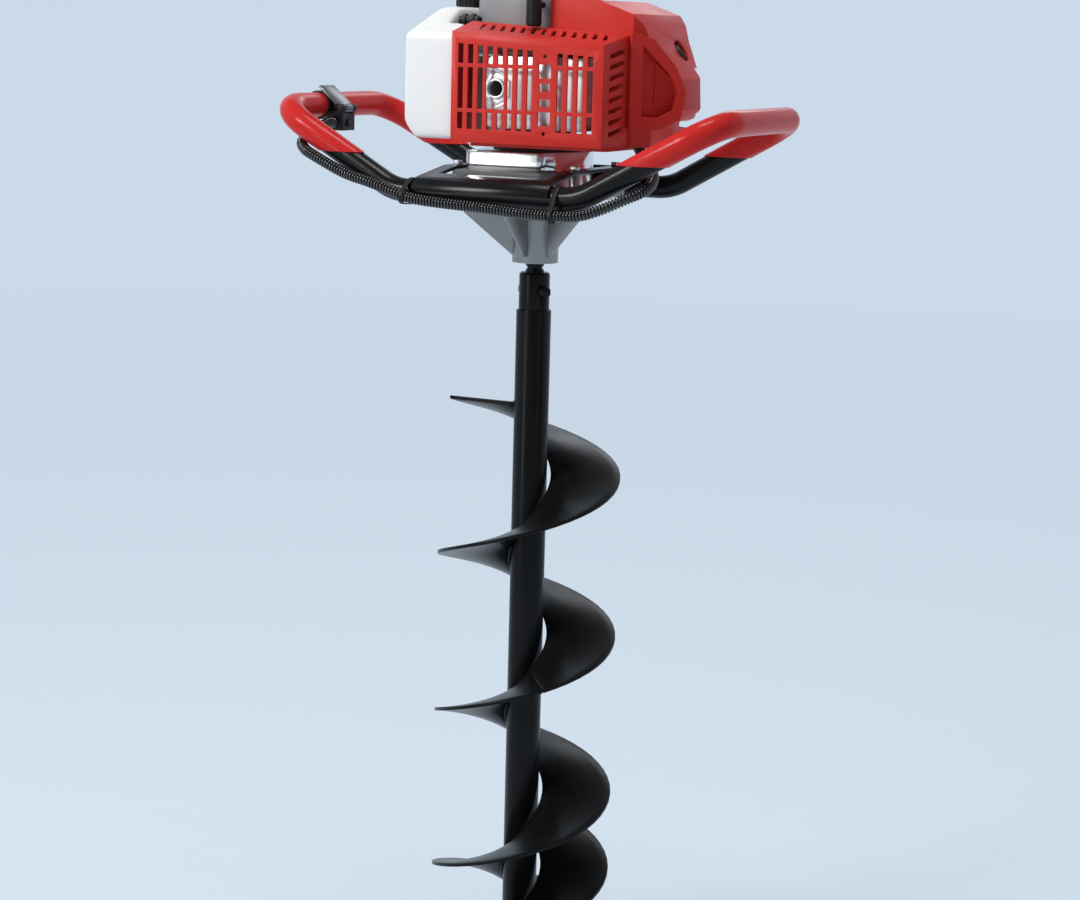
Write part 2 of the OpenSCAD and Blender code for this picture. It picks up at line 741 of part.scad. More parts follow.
// Smooth curve through the points of a route
function spline_at(p, i, t) =
    let (n = len(p) - 1, a = p[max(i - 1, 0)], b = p[i], c = p[i + 1], d = p[min(i + 2, n)])
    0.5 * (2 * b + (c - a) * t + (2 * a - 5 * b + 4 * c - d) * t * t + (3 * b - a - 3 * c + d) * t * t * t);
function spline(p, k) = concat([for (i = [0:len(p) - 2], j = [0:k - 1]) spline_at(p, i, j / k)],
    [p[len(p) - 1]]);

// Length along a polyline up to each of its points, and the point at a length
function lengths(p) = [for (i = 0, s = 0; i < len(p);
    s = s + (i + 1 < len(p) ? norm(p[i + 1] - p[i]) : 0), i = i + 1) s];
function find_span(s, x, lo, hi) = hi - lo <= 1 ? lo :
    let (mid = floor((lo + hi) / 2)) s[mid] <= x ? find_span(s, x, mid, hi) : find_span(s, x, lo, mid);
function point_at(p, s, x) = let (k = find_span(s, x, 0, len(s) - 1))
    p[k] + (p[k + 1] - p[k]) * (x - s[k]) / (s[k + 1] - s[k]);

// Side vectors carried along a row of points without twist
function headings(p) = [for (i = [0:len(p) - 1]) unit(p[min(i + 1, len(p) - 1)] - p[max(i - 1, 0)])];
function carried(h) = [for (i = 0, v = side(h[0]); i < len(h);
    v = i + 1 < len(h) ? unit(v - (v * h[i + 1]) * h[i + 1]) : v, i = i + 1) v];

// Rings of n points and the given radii round a row of points
function rings_on(p, radii, n) =
    let (h = headings(p), v = carried(h))
    [for (i = [0:len(p) - 1]) let (w = cross(h[i], v[i]))
        [for (j = [0:n - 1]) let (a = 360 * j / n) p[i] + radii[i] * (cos(a) * v[i] + sin(a) * w)]];

conduit_curve = spline(conduit_run, spline_steps);
conduit_marks = lengths(conduit_curve);
conduit_len = conduit_marks[len(conduit_marks) - 1];
rib_count = floor((conduit_len - 2 * conduit_d) / rib_pitch);
bore_rings = 80;
conduit_sides = 8;
echo(conduit_length = conduit_len, ribs = rib_count);

module throttle_conduit() {
    ribbed = rib_count * rib_pitch;
    lead = (conduit_len - ribbed) / 2;
    stations = concat([0], [for (i = [0:2 * rib_count]) lead + i * rib_pitch / 2], [conduit_len]);
    skin_pts = [for (x = stations) point_at(conduit_curve, conduit_marks, min(x, conduit_len))];
    skin_r = concat([valley_r], [for (i = [0:2 * rib_count]) i % 2 == 0 ? valley_r : conduit_r],
        [valley_r]);
    bore_pts = [for (i = [0:bore_rings]) point_at(conduit_curve, conduit_marks,
        conduit_len * i / bore_rings)];
    color(black) skin(concat(rings_on(skin_pts, skin_r, conduit_sides),
        flip(rings_on(bore_pts, [for (p = bore_pts) conduit_bore_r], conduit_sides))), loop = true);
}

tie_at = [-84, 84];
tie_w = 5;
tie_t = 1.3;
tie_room = 1;

// Loop of a tie round the rail and the conduit beside it, seen along the rail
module tie_loop(c, grow) {
    hull() {
        translate([-rail_y, rail_z]) circle(r = rail_r + seat_gap + grow, $fn = 48);
        translate([c.y, c.z]) circle(r = conduit_r + tie_room + grow, $fn = 48);
    }
}

// Length along the conduit where it passes a place along the rail
function mark_at(x, k) = conduit_curve[k].x > x && conduit_curve[k - 1].x <= x ? k : mark_at(x, k + 1);

module cable_ties() {
    color(black) for (x = tie_at) {
        c = conduit_curve[mark_at(x, 60)];
        translate([x - tie_w / 2, 0, 0]) rotate([90, 0, 90]) linear_extrude(tie_w) difference() {
            tie_loop(c, tie_t);
            tie_loop(c, 0);
        }
    }
}

// Engine: every piece below is placed from the crossing of the crank and cylinder axes
module engine() {
    translate([0, 0, engine_z]) children();
}

crank_r = stroke / 2;
web_gap = 5;
crank_web_t = 10;
case_r = 44;
case_h = 36;
crank_room_r = 36;
seat_x = 48;
piston_r = bore_d / 2 - run_gap;
pin_x = crank_r + rod_len;
crown_x = pin_x + 20;
skirt = 17;
bore_top = crown_x + 2;
head_x = bore_top + 14;
rod_pin_r = 6;
wrist_pin_r = 5;
lug_x = -52;
port_x = carb_x;

module crankcase_half() {
    difference() {
        union() {
            cylinder(h = case_h, r = case_r, $fn = 128);
            box([0, -34, 0], [seat_x, 34, 32]);
            box([lug_x + seat_gap, -14, 0], [-case_r + 4, 14, 14]);
        }
        translate([0, 0, -1]) cylinder(h = web_gap + crank_web_t + 2.2, r = crank_room_r, $fn = 128);
        translate([0, 0, crank_bear_z - 1]) cylinder(h = crank_bear_h + 1, r = crank_bear_r, $fn = 96);
        translate([0, 0, -1]) cylinder(h = far, r = crank_bear_bore + 3, $fn = 64);
        rotate([0, 90, 0]) cylinder(h = far, r = bore_d / 2 + 1.6, $fn = 96);
    }
}

module crankcase_lower() {
    color(alloy) engine() mirror([0, 0, 1]) crankcase_half();
}

fan_floor = 4;

module crankcase_upper() {
    color(alloy) engine() {
        crankcase_half();
        translate([0, 0, case_h - fan_floor]) difference() {
            cylinder(h = fan_floor, r = starter_r, $fn = 128);
            translate([0, 0, -1]) cylinder(h = fan_floor + 2, r = case_r - 1, $fn = 128);
            box([seat_x - 6, -far, -1], [far, far, fan_floor + 1]);
        }
    }
}

flywheel_z = 42;
clutch_boss_r = 11;
clutch_z = -56;
clutch_h = 12;

module crankshaft() {
    color(steel) engine() {
        for (s = [0, 1]) mirror([0, 0, s]) {
            translate([0, 0, web_gap]) cylinder(h = crank_web_t, r = crank_web_r, $fn = 128);
            translate([0, 0, web_gap + crank_web_t]) cylinder(h = flywheel_z - web_gap - crank_web_t,
                r = crank_bear_bore - run_gap, $fn = 64);
        }
        translate([0, 0, flywheel_z]) cylinder(h = 26, r = crank_bear_bore - run_gap, $fn = 64);
        translate([0, 0, clutch_z]) cylinder(h = clutch_h, r = clutch_boss_r, $fn = 64);
    }
}

module connecting_rod() {
    half = web_gap - seat_gap;
    color(steel) engine() {
        difference() {
            union() {
                translate([crank_r, 0, -half]) cylinder(h = 2 * half, r = rod_pin_r + 5, $fn = 64);
                translate([pin_x, 0, -half]) cylinder(h = 2 * half, r = wrist_pin_r + 4, $fn = 64);
                box([crank_r, -4, -3], [pin_x, 4, 3]);
            }
            translate([crank_r, 0, -far / 2]) cylinder(h = far, r = rod_pin_r + run_gap, $fn = 64);
            translate([pin_x, 0, -far / 2]) cylinder(h = far, r = wrist_pin_r + run_gap, $fn = 64);
        }
        translate([crank_r, 0, -half]) cylinder(h = 2 * half, r = rod_pin_r, $fn = 64);
    }
}

ring_w = 2;
ring_depth = 1.6;

module piston() {
    foot = pin_x - skirt;
    crown_t = 6;
    ring_at = [crown_x - 6, crown_x - 11];
    color(alloy) engine() rotate([0, 90, 0]) {
        difference() {
            translate([0, 0, foot]) cylinder(h = crown_x - foot, r = piston_r, $fn = 96);
            translate([0, 0, foot - 1]) cylinder(h = crown_x - crown_t - foot + 1, r = piston_r - 3.5,
                $fn = 96);
            for (z = ring_at) translate([0, 0, z - ring_w]) difference() {
                cylinder(h = ring_w, r = piston_r + 1, $fn = 96);
                translate([0, 0, -1]) cylinder(h = ring_w + 2, r = piston_r - ring_depth, $fn = 96);
            }
            translate([0, 0, pin_x]) rotate([0, 90, 0]) cylinder(h = far, r = wrist_pin_r + run_gap,
                center = true, $fn = 64);
        }
        for (z = ring_at) translate([0, 0, z - ring_w + run_gap]) difference() {
            cylinder(h = ring_w - 2 * run_gap, r = piston_r, $fn = 96);
            translate([0, 0, -1]) cylinder(h = ring_w + 2, r = piston_r - ring_depth + run_gap, $fn = 96);
        }
    }
}

module wrist_pin() {
    reach = piston_r - 2.5;
    color(steel) engine() translate([pin_x, 0, -reach]) cylinder(h = 2 * reach, r = wrist_pin_r, $fn = 64);
}

fin_y = 44;
fin_z = 40;
fin_t = 2.2;
fin_pitch = 7;
barrel_wall = 6;
port_r = 8;
port_y = 45;
plug_foot = [bore_top, 0, 0];
plug_way = unit([46, 22, 42]);
plug_r = 5;
plug_hex_r = 8;
boot_r = 8.5;
boot_end = 64;

module cylinder_block() {
    rotate([0, 90, 0]) translate([0, 0, seat_x]) cylinder(h = head_x - seat_x,
        r = bore_d / 2 + barrel_wall, $fn = 96);
    box([seat_x, -34, -30], [seat_x + 6, 34, 30]);
    for (x = [seat_x + 11:fin_pitch:head_x - fin_t]) box([x, -fin_y, -fin_z], [x + fin_t, fin_y, fin_z]);
    box([port_x - 16, -port_y, -15], [port_x + 16, port_y, 15]);
    bar(plug_foot, plug_foot + 24 * plug_way, plug_r + 6);
}

module cylinder_piece() {
    color(alloy) engine() difference() {
        cylinder_block();
        rotate([0, 90, 0]) translate([0, 0, seat_x - 1]) cylinder(h = bore_top - seat_x + 1,
            r = bore_d / 2, $fn = 96);
        translate([port_x, 0, 0]) rotate([90, 0, 0]) cylinder(h = far, r = port_r, center = true, $fn = 64);
        bar(plug_foot - 2 * plug_way, plug_foot + 40 * plug_way, plug_r + run_gap);
        bar(plug_foot + 24 * plug_way, plug_foot + 60 * plug_way, plug_hex_r + 1.5);
    }
}

module spark_plug() {
    color(steel) engine() {
        bar(plug_foot + 4 * plug_way, plug_foot + 24 * plug_way, plug_r);
        aim(plug_foot + 24 * plug_way, plug_way) cylinder(h = 7, r = plug_hex_r, $fn = 6);
        bar(plug_foot + 31 * plug_way, plug_foot + 47 * plug_way, 4.5);
    }
}

module plug_boot() {
    color(grey) engine() difference() {
        bar(plug_foot + 33 * plug_way, plug_foot + boot_end * plug_way, boot_r);
        bar(plug_foot + 30 * plug_way, plug_foot + 48 * plug_way, 4.5 + seat_gap);
    }
}

fan_blades = 18;
fan_h = 22;

module flywheel() {
    disc = 6;
    color(alloy) engine() translate([0, 0, flywheel_z]) difference() {
        union() {
            cylinder(h = disc, r = flywheel_r, $fn = 128);
            cylinder(h = fan_h, r = 16, $fn = 64);
            for (k = [0:fan_blades - 1]) rotate(k * 360 / fan_blades) box([30, -1.2, 0],
                [flywheel_r - 1, 1.2, fan_h]);
        }
        translate([0, 0, -1]) cylinder(h = far, r = crank_bear_bore + run_gap, $fn = 64);
    }
}

// Half ring of the centrifugal clutch, carried on the boss of the crankshaft
module clutch_shoe() {
    engine() translate([0, 0, clutch_z]) difference() {
        cylinder(h = clutch_h, r = drum_bore_r - shoe_travel - shoe_play, $fn = 96);
        translate([0, 0, -1]) cylinder(h = clutch_h + 2, r = clutch_boss_r + seat_gap, $fn = 96);
        box([-far, -far, -1], [2, far, clutch_h + 1]);
    }
}

module clutch_shoe_a() {
    color(grey) clutch_shoe();
}

module clutch_shoe_b() {
    color(grey) mirror([1, 0, 0]) clutch_shoe();
}

bell_r = 40;
bell_bore_r = 33;
bell_roof = 4;

module clutch_housing() {
    foot = -engine_rise;
    roof = -case_h;
    color(grey) engine() difference() {
        union() {
            translate([0, 0, foot]) cylinder(h = roof - foot, r = bell_r, $fn = 128);
            translate([0, 0, foot]) cylinder(h = 2, r = bell_r + 8, $fn = 128);
        }
        translate([0, 0, foot - 1]) cylinder(h = roof - foot - bell_roof + 1, r = bell_bore_r, $fn = 128);
        cylinder(h = far, r = crank_bear_bore + 6, center = true, $fn = 64);
    }
}

module ignition_coil() {
    near = flywheel_r + 1.5;
    color(black) engine() {
        box([-12, near, case_h], [12, near + 8, case_h + 24]);
        box([-8, case_r - 18, case_h], [8, near, case_h + 4]);
    }
}

muffler_x = [-14, 100];
muffler_y = -104;
muffler_z = [-43, 31];
outlet = [0, 0, -2];
sheet_t = 1.5;

module muffler() {
    back = -port_y - seat_gap;
    color(alloy) engine() difference() {
        union() {
            translate([0, back, 0]) rotate([90, 0, 0]) linear_extrude(back - muffler_y)
                polygon(round_box([muffler_x[0], muffler_z[0]], [muffler_x[1], muffler_z[1]], 10));
            translate([outlet.x, muffler_y, outlet.z]) rotate([90, 0, 0]) cylinder(h = 6,
                r = outlet_r + 2, $fn = 64);
        }
        translate([0, back - sheet_t, 0]) rotate([90, 0, 0]) linear_extrude(back - muffler_y - 2 * sheet_t)
            polygon(inset(round_box([muffler_x[0], muffler_z[0]], [muffler_x[1], muffler_z[1]], 10),
                sheet_t));
        translate([outlet.x, muffler_y + 3, outlet.z]) rotate([90, 0, 0]) cylinder(h = 20, r = outlet_r,
            $fn = 64);
        translate([port_x, 0, 0]) rotate([90, 0, 0]) cylinder(h = port_y + 4, r = port_r, $fn = 64);
    }
}

// Rectangle with round corners
function round_box(a, b, r) = concat(
    arc([b.x - r, a.y + r], r, 270, 360, 6), arc([b.x - r, b.y - r], r, 0, 90, 6),
    arc([a.x + r, b.y - r], r, 90, 180, 6), arc([a.x + r, a.y + r], r, 180, 270, 6));

cover_front = -115;
cover_back = -67;
cover_x = [-48, 122];
cover_foot = -58;
cover_top = [55, 45];
cover_flare = 10;
cover_rise = 11;

// Corners of the muffler cover, moved in by d on every side that has a wall
function cover_corners(d) = [
    [cover_x[0] + d, cover_front + d, cover_foot + d], [cover_x[1] - d, cover_front + d, cover_foot + d],
    [cover_x[1] - d, cover_front + d, cover_top[1] - d], [cover_x[0] + d, cover_front + d,
        cover_top[0] - d],
    [cover_x[0] + d, cover_back + d, cover_foot + d], [cover_x[1] + cover_flare - d, cover_back + d,
        cover_foot + d],
    [cover_x[1] + cover_flare - d, cover_back + d, cover_top[1] + cover_rise - d],
    [cover_x[0] + d, cover_back + d, cover_top[0] + cover_rise - d]];

// Solid with eight corners: front ring, then back ring
module slab(c) {
    polyhedron(points = c, faces = [[0, 3, 2, 1], [4, 5, 6, 7], [0, 1, 5, 4], [1, 2, 6, 5], [2, 3, 7,
        6], [3, 0, 4, 7]]);
}

slot_count = 14;
slot_w = 6;
slot_pitch = 11.2;
slot_x = -40.6;
slot_foot = -44;
slot_head = 43;
slot_fall = -10;
bar_at = [-25, 21];
bar_w = 4;
window = [3, 4];
column = [8, 9];

// Slot through the front of the cover between two heights
module front_slot(x0, x1, z0, z1) {
    box([x0, cover_front - 5, z0], [x1, cover_front + 8, z1]);
}

module cover_slots() {
    for (k = [0:slot_count - 1]) if (k != column[0] && k != column[1]) {
        x = slot_x + k * slot_pitch;
        front_slot(x, x + slot_w, slot_foot, bar_at[0] - bar_w / 2);
        front_slot(x, x + slot_w, bar_at[1] + bar_w / 2, slot_head + slot_fall * k / (slot_count - 1));
        if (k != window[0] && k != window[1])
            front_slot(x, x + slot_w, bar_at[0] + bar_w / 2, bar_at[1] - bar_w / 2);
    }
    front_slot(slot_x + window[0] * slot_pitch - 2, slot_x + window[1] * slot_pitch + slot_w + 2,
               bar_at[0] + bar_w / 2, bar_at[1] - bar_w / 2);
    mid = slot_x + column[0] * slot_pitch + (slot_pitch + slot_w) / 2;
    for (z = [[10, 24], [-38, -24]]) front_slot(mid - 7, mid + 7, z[0], z[1]);
    for (z = [[-3, 5], [-19, -11]]) front_slot(mid - 6, mid + 6, z[0], z[1]);
    for (z = [32, -46]) translate([mid, cover_front + 8, z]) rotate([90, 0, 0]) cylinder(h = 20, r = 2,
        $fn = 32);
    for (k = [0:12]) translate([cover_x[0] + 16 + k * 11.5, cover_back - 8, 0]) rotate(16)
        box([0, -24, 30], [4.5, 0, 90]);
    for (k = [0:7]) translate([cover_x[1], cover_back - 22, -44 + k * 11.2]) rotate([14, 0, 0])
        box([-8, -14, 0], [24, 14, 5]);
}

module muffler_cover() {
    inner = cover_corners(cover_t);
    color(red) engine() difference() {
        slab(cover_corners(0));
        slab([for (i = [0:7]) inner[i] + (i > 3 ? [0, cover_t, 0] : [0, 0, 0])]);
        box([cover_x[0] + cover_t, cover_back - 12, cover_foot - 1],
            [cover_x[1], cover_back + 1, cover_foot + 20]);
        cover_slots();
    }
}

// Side outline of the engine shroud, from its open left edge round to the stepped end
shroud_x = 41;
shroud_y = 67;
shroud_top = 90;
function shroud_side(x0, z0) = [[x0, z0], [149, z0], [150, -33], [161, -30], [175, -19], [172, 12],
    [163, 25],
    [148, 48], [141, 67], [132, 77], [95, shroud_top], [x0, shroud_top]];
function shroud_plan(x0) = [[x0, -shroud_y], [134, -shroud_y], [150, -48], [163, -34], [176, -24],
    [176, 24], [163, 40], [150, 55], [134, shroud_y], [x0, shroud_y]];

module shroud_form(side_outline, plan_outline) {
    intersection() {
        translate([0, 100, 0]) rotate([90, 0, 0]) linear_extrude(200) polygon(side_outline);
        translate([0, 0, -100]) linear_extrude(250) polygon(plan_outline);
    }
}

module engine_shroud() {
    open = 6;
    color(red) engine() difference() {
        shroud_form(shroud_side(shroud_x, cover_foot), shroud_plan(shroud_x));
        shroud_form(inset(shroud_side(shroud_x - open, cover_foot - open), cover_t),
                    inset(shroud_plan(shroud_x - open), cover_t));
        box([shroud_x - 1, -far, cover_foot - 1], [muffler_x[1] + 4, 0, muffler_z[1] + 3]);
        box([shroud_x - 1, 0, cover_foot - 1], [muffler_x[1] + 4, far, muffler_z[1] + 3]);
        bar(plug_foot + 30 * plug_way, plug_foot + 90 * plug_way, boot_r + 4);
        for (k = [0:4]) box([120, 30, -40 + k * 14], [far, far, -33 + k * 14]);
    }
}

tray_h = 4;

module lower_shroud() {
    color(red) engine() translate([0, 0, cover_foot - tray_h]) difference() {
        linear_extrude(tray_h) polygon(round_box([-35, -100], [122, 62], 8));
        translate([0, 0, -1]) linear_extrude(tray_h - cover_t + 1)
            polygon(round_box([-35 + cover_t, -100 + cover_t], [122 - cover_t, 62 - cover_t], 8 - cover_t));
        translate([0, 0, -1]) cylinder(h = far, r = bell_r + seat_gap, $fn = 128);
    }
}

tank_foot = -56;
tank_left = -113;
tank_neck = [-90, 18];
neck_bore = 11;
tank_roof = 80;
tank_front = -98;
tank_back = 58;
tank_notch = [-72, -74, 28];
function tank_side(d) = inset([[tank_left, -40], [tank_left + 13, tank_foot], [lug_x, tank_foot],
    [lug_x, tank_roof], [-98, tank_roof], [tank_left, 50]], d);
function tank_long(d) = inset([[tank_front, tank_foot], [tank_back, tank_foot], [tank_back, 60],
    [40, tank_roof + 2], [-40, tank_roof + 2], [tank_front, 52]], d);

module tank_form(d) {
    difference() {
        intersection() {
            translate([0, 100, 0]) rotate([90, 0, 0]) linear_extrude(200) polygon(tank_side(d));
            translate([-150, 0, 0]) rotate([90, 0, 90]) linear_extrude(150) polygon(tank_long(d));
        }
        box([tank_notch.x - d, tank_notch.y - d, tank_notch.z - d], [far, far, far]);
    }
}

cap_skirt = 12;

module fuel_tank() {
    color(white) engine() difference() {
        union() {
            tank_form(0);
            translate([tank_neck.x, tank_neck.y, tank_roof - 4]) cylinder(h = 14, r = neck_bore + 2,
                $fn = 64);
        }
        tank_form(tank_t);
        translate([tank_neck.x, tank_neck.y, tank_roof - 8]) cylinder(h = far, r = neck_bore, $fn = 64);
    }
}

module fuel_cap() {
    color(black) engine() translate([tank_neck.x, tank_neck.y, tank_roof + seat_gap]) difference() {
        union() {
            cylinder(h = cap_skirt + 3, r = neck_bore + 6, $fn = 96);
            for (k = [0:11]) rotate(30 * k) translate([neck_bore + 6, 0, 1]) cylinder(h = cap_skirt,
                r = 1.2, $fn = 24);
        }
        translate([0, 0, -1]) cylinder(h = cap_skirt, r = neck_bore + 2 + seat_gap, $fn = 96);
    }
}

hose_r = 4.5;
hose_at = [-72, -48, 67];
clip_r = 6.5;

module fuel_hose() {
    wall_x = -sqrt(pow(starter_r, 2) - pow(hose_at.y + hose_r, 2));
    run = wall_x - hose_at.x;
    color(black) engine() translate(hose_at + [seat_gap, 0, 0]) rotate([0, 90, 0]) {
        cylinder(h = run - 2 * seat_gap, r = hose_r, $fn = 48);
        for (z = [4, run - 9]) translate([0, 0, z]) cylinder(h = 4, r = clip_r, $fn = 48);
    }
}

carb_y = [port_y + seat_gap, 83];
back_plate = 3;
choke_pivot = [106, 0, 14];

module carburettor() {
    color(alloy) engine() difference() {
        union() {
            box([carb_x - 20, carb_y[0], -20], [carb_x + 20, carb_y[1], 20]);
            box([38, carb_y[1], -40], [116, carb_y[1] + back_plate, 44]);
            translate([choke_pivot.x, carb_y[1], choke_pivot.z]) rotate([90, 0, 0]) cylinder(h = 5,
                r = 2.5, $fn = 48);
        }
        translate([carb_x, 0, 0]) rotate([-90, 0, 0]) cylinder(h = far, r = port_r, $fn = 64);
        translate([throttle_shaft.x, throttle_shaft.y, -21]) cylinder(h = 8, r = 3 + run_gap, $fn = 48);
        translate([carb_x - 11, 70, -21]) cylinder(h = 6, r = 7.5, $fn = 64);
    }
}

module throttle_arm() {
    color(steel) engine() translate([throttle_shaft.x, throttle_shaft.y,
        arm_z - engine_z - 1]) difference() {
        union() {
            cylinder(h = 9, r = 3, $fn = 48);
            cylinder(h = 2, r = 5, $fn = 48);
            box([-3, 0, 0], [3, arm_len, 2]);
            translate([0, arm_len, 0]) cylinder(h = 2, r = 3, $fn = 48);
        }
        translate([0, arm_len, -1]) cylinder(h = 4, r = 1.2, $fn = 32);
    }
}

module choke_lever() {
    y = carb_y[1] - seat_gap;
    color(black) engine() translate([choke_pivot.x, y, choke_pivot.z]) rotate([90, 0, 0]) difference() {
        union() {
            cylinder(h = 3, r = 6, $fn = 48);
            box([0, -4, 0], [24, 4, 3]);
            box([18, -6, 0], [24, 6, 9]);
        }
        translate([0, 0, -1]) cylinder(h = 6, r = 2.5 + run_gap, $fn = 48);
    }
}

primer_travel = 3;

module primer_bulb() {
    bulb_r = 7.2;
    color(black) engine() translate([carb_x - 11, 70, -20]) rotate_extrude($fn = 64)
        polygon(concat([[0, 0.5]], [[0, -4 - bulb_r]], [for (p = arc([0, -4], bulb_r, -80, 0, 8)) p],
            [[bulb_r, 0.5]]));
}

filter_y = carb_y[1] + back_plate;

module filter_element() {
    color(grey) engine() difference() {
        box([44, filter_y + seat_gap, -34], [110, filter_y + 26, 38]);
        translate([carb_x, 0, 0]) rotate([-90, 0, 0]) cylinder(h = filter_y + 14, r = port_r, $fn = 64);
    }
}

module filter_cover() {
    depth = 36;
    color(black) engine() translate([0, filter_y + depth, 0]) rotate([90, 0, 0]) difference() {
        linear_extrude(depth) polygon(round_box([36, -42], [118, 46], 12));
        translate([0, 0, cover_t]) linear_extrude(depth) polygon(round_box([36 + cover_t, -42 + cover_t],
            [118 - cover_t, 46 - cover_t], 12 - cover_t));
    }
}

dome_r = 20;
dome_top = 106;
rope_x = 28;
rope_z = 84;
rope_r = 1.75;
reel_z = [74, 94];
reel_r = 37;
reel_core = rope_x - rope_r - 0.25;
post_low = 72;
spindle_r = 5;

// Half section of the round starter housing, moved in by d
function starter_section(d) = concat([[0, case_h - (d > 0 ? 1 : 0)], [starter_r - d,
    case_h - (d > 0 ? 1 : 0)]],
    arc([starter_r - dome_r, dome_top - dome_r], dome_r - d, 0, 90, 8), [[0, dome_top - d]]);

module starter_housing() {
    color(grey) engine() difference() {
        union() {
            difference() {
                rotate_extrude($fn = 128) polygon(starter_section(0));
                rotate_extrude($fn = 128) polygon(starter_section(cover_t));
            }
            translate([0, 0, post_low]) cylinder(h = dome_top - post_low - 1, r = spindle_r, $fn = 48);
        }
        box([shroud_x - seat_gap, -far, case_h - 1], [far, far, shroud_top + seat_gap]);
        translate([rope_x, -far, rope_z]) rotate([-90, 0, 0]) cylinder(h = far, r = rope_r + 1.5, $fn = 32);
        for (k = [0:7]) rotate(45 * k + 22) box([16, -2.5, dome_top - 10], [40, 2.5, dome_top + 5]);
        for (k = [0:5]) rotate(150 + 14 * k) box([starter_r - 8, -3, case_h + 10], [far, 3, case_h + 34]);
    }
}

module starter_reel() {
    color(white) engine() difference() {
        translate([0, 0, reel_z[0]]) cylinder(h = reel_z[1] - reel_z[0], r = reel_r, $fn = 96);
        translate([0, 0, rope_z - 4]) difference() {
            cylinder(h = 8, r = reel_r + 1, $fn = 96);
            translate([0, 0, -1]) cylinder(h = 10, r = reel_core, $fn = 96);
        }
        cylinder(h = far, r = spindle_r + run_gap, $fn = 48);
    }
}

handle_y = -80;
handle_r = 8;
handle_len = 44;

nose_len = 12;
nose_r = 5;

module starter_rope() {
    start = handle_y + nose_len;
    color(black) engine() translate([rope_x, start, rope_z]) rotate([-90, 0, 0])
        cylinder(h = -start - 2, r = rope_r, $fn = 32);
}

module starter_handle() {
    color(black) engine() translate([rope_x, handle_y, rope_z]) {
        translate([0, 0, -handle_len / 2 + 2]) cylinder(h = handle_len - 4, r = handle_r, $fn = 64);
        for (s = [0, 1]) mirror([0, 0, s]) translate([0, 0, handle_len / 2 - 2])
            cylinder(h = 2, r1 = handle_r, r2 = handle_r - 2, $fn = 64);
        rotate([-90, 0, 0]) cylinder(h = nose_len, r = nose_r, $fn = 48);
    }
}

bit_tube();
bit_socket();
flight_upper();
flight_lower();
cutter_blades();
bit_bolts();
pilot_point();
output_shaft();
output_gear();
layshaft();
layshaft_gear();
input_shaft();
clutch_drum();
gear_case_upper();
gear_case_lower();
case_flange();
case_bolts();
ball_bearings();
output_seal();
left_handle_tube();
right_handle_tube();
left_grip();
right_grip();
base_plate();
throttle_bracket();
throttle_lever();
stop_switch();
throttle_conduit();
cable_ties();
crankcase_lower();
crankcase_upper();
crankshaft();
connecting_rod();
piston();
wrist_pin();
cylinder_piece();  // cylinder
spark_plug();
plug_boot();
flywheel();
clutch_shoe_a();
clutch_shoe_b();
clutch_housing();
ignition_coil();
muffler();
muffler_cover();
engine_shroud();
lower_shroud();
fuel_tank();
fuel_cap();
fuel_hose();
carburettor();
throttle_arm();
choke_lever();
primer_bulb();
filter_element();
filter_cover();
starter_housing();
starter_reel();
starter_rope();
starter_handle();
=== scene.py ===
# %% [markdown]
# # Earth auger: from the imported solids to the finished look
# A one-man petrol auger is a small two-stroke engine on top of a reduction gear case, held by a loop
# of bent tube, with a spiral bit below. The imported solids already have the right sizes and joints.
# This lesson gives them soft edges, rounded mouldings, ribs, welds and procedural materials.

# %% load the frame
import json
import math
import random

import bpy
from mathutils import Matrix, Quaternion, Vector


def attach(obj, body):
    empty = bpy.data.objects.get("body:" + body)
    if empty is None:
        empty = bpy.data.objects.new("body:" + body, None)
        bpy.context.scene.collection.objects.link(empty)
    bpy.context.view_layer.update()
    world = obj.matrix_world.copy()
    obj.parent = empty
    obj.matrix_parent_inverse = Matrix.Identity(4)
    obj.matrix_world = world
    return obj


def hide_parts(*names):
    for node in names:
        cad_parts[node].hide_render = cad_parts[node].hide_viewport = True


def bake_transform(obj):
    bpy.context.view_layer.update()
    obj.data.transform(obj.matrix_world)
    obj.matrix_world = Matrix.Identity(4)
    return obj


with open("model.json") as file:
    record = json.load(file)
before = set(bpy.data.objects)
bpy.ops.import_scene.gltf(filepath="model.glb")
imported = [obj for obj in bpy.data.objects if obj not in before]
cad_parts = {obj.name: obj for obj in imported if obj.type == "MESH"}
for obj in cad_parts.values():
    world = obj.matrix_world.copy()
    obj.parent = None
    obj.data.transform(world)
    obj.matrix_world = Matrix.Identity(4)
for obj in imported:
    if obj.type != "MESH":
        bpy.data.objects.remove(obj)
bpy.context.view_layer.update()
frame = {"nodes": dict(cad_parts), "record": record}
nodes = frame["nodes"]
body_of_node = {n: b for b, names in frame["record"]["behaviour"]["bodies"].items() for n in names}
slot_of_node = {s["node"]: s["material_slot"] for s in frame["record"]["subparts"]}
MM = 0.001
random.seed(7)

# %% [markdown]
# ## Camera, light and stage
# The photo is a product shot on pale blue, taken from the front, a little to the right and from just
# above the handles. The long lens keeps the two grips nearly the same size. The light is large and
# soft, so glossy black parts show broad pale reflections and nothing casts a hard shadow.

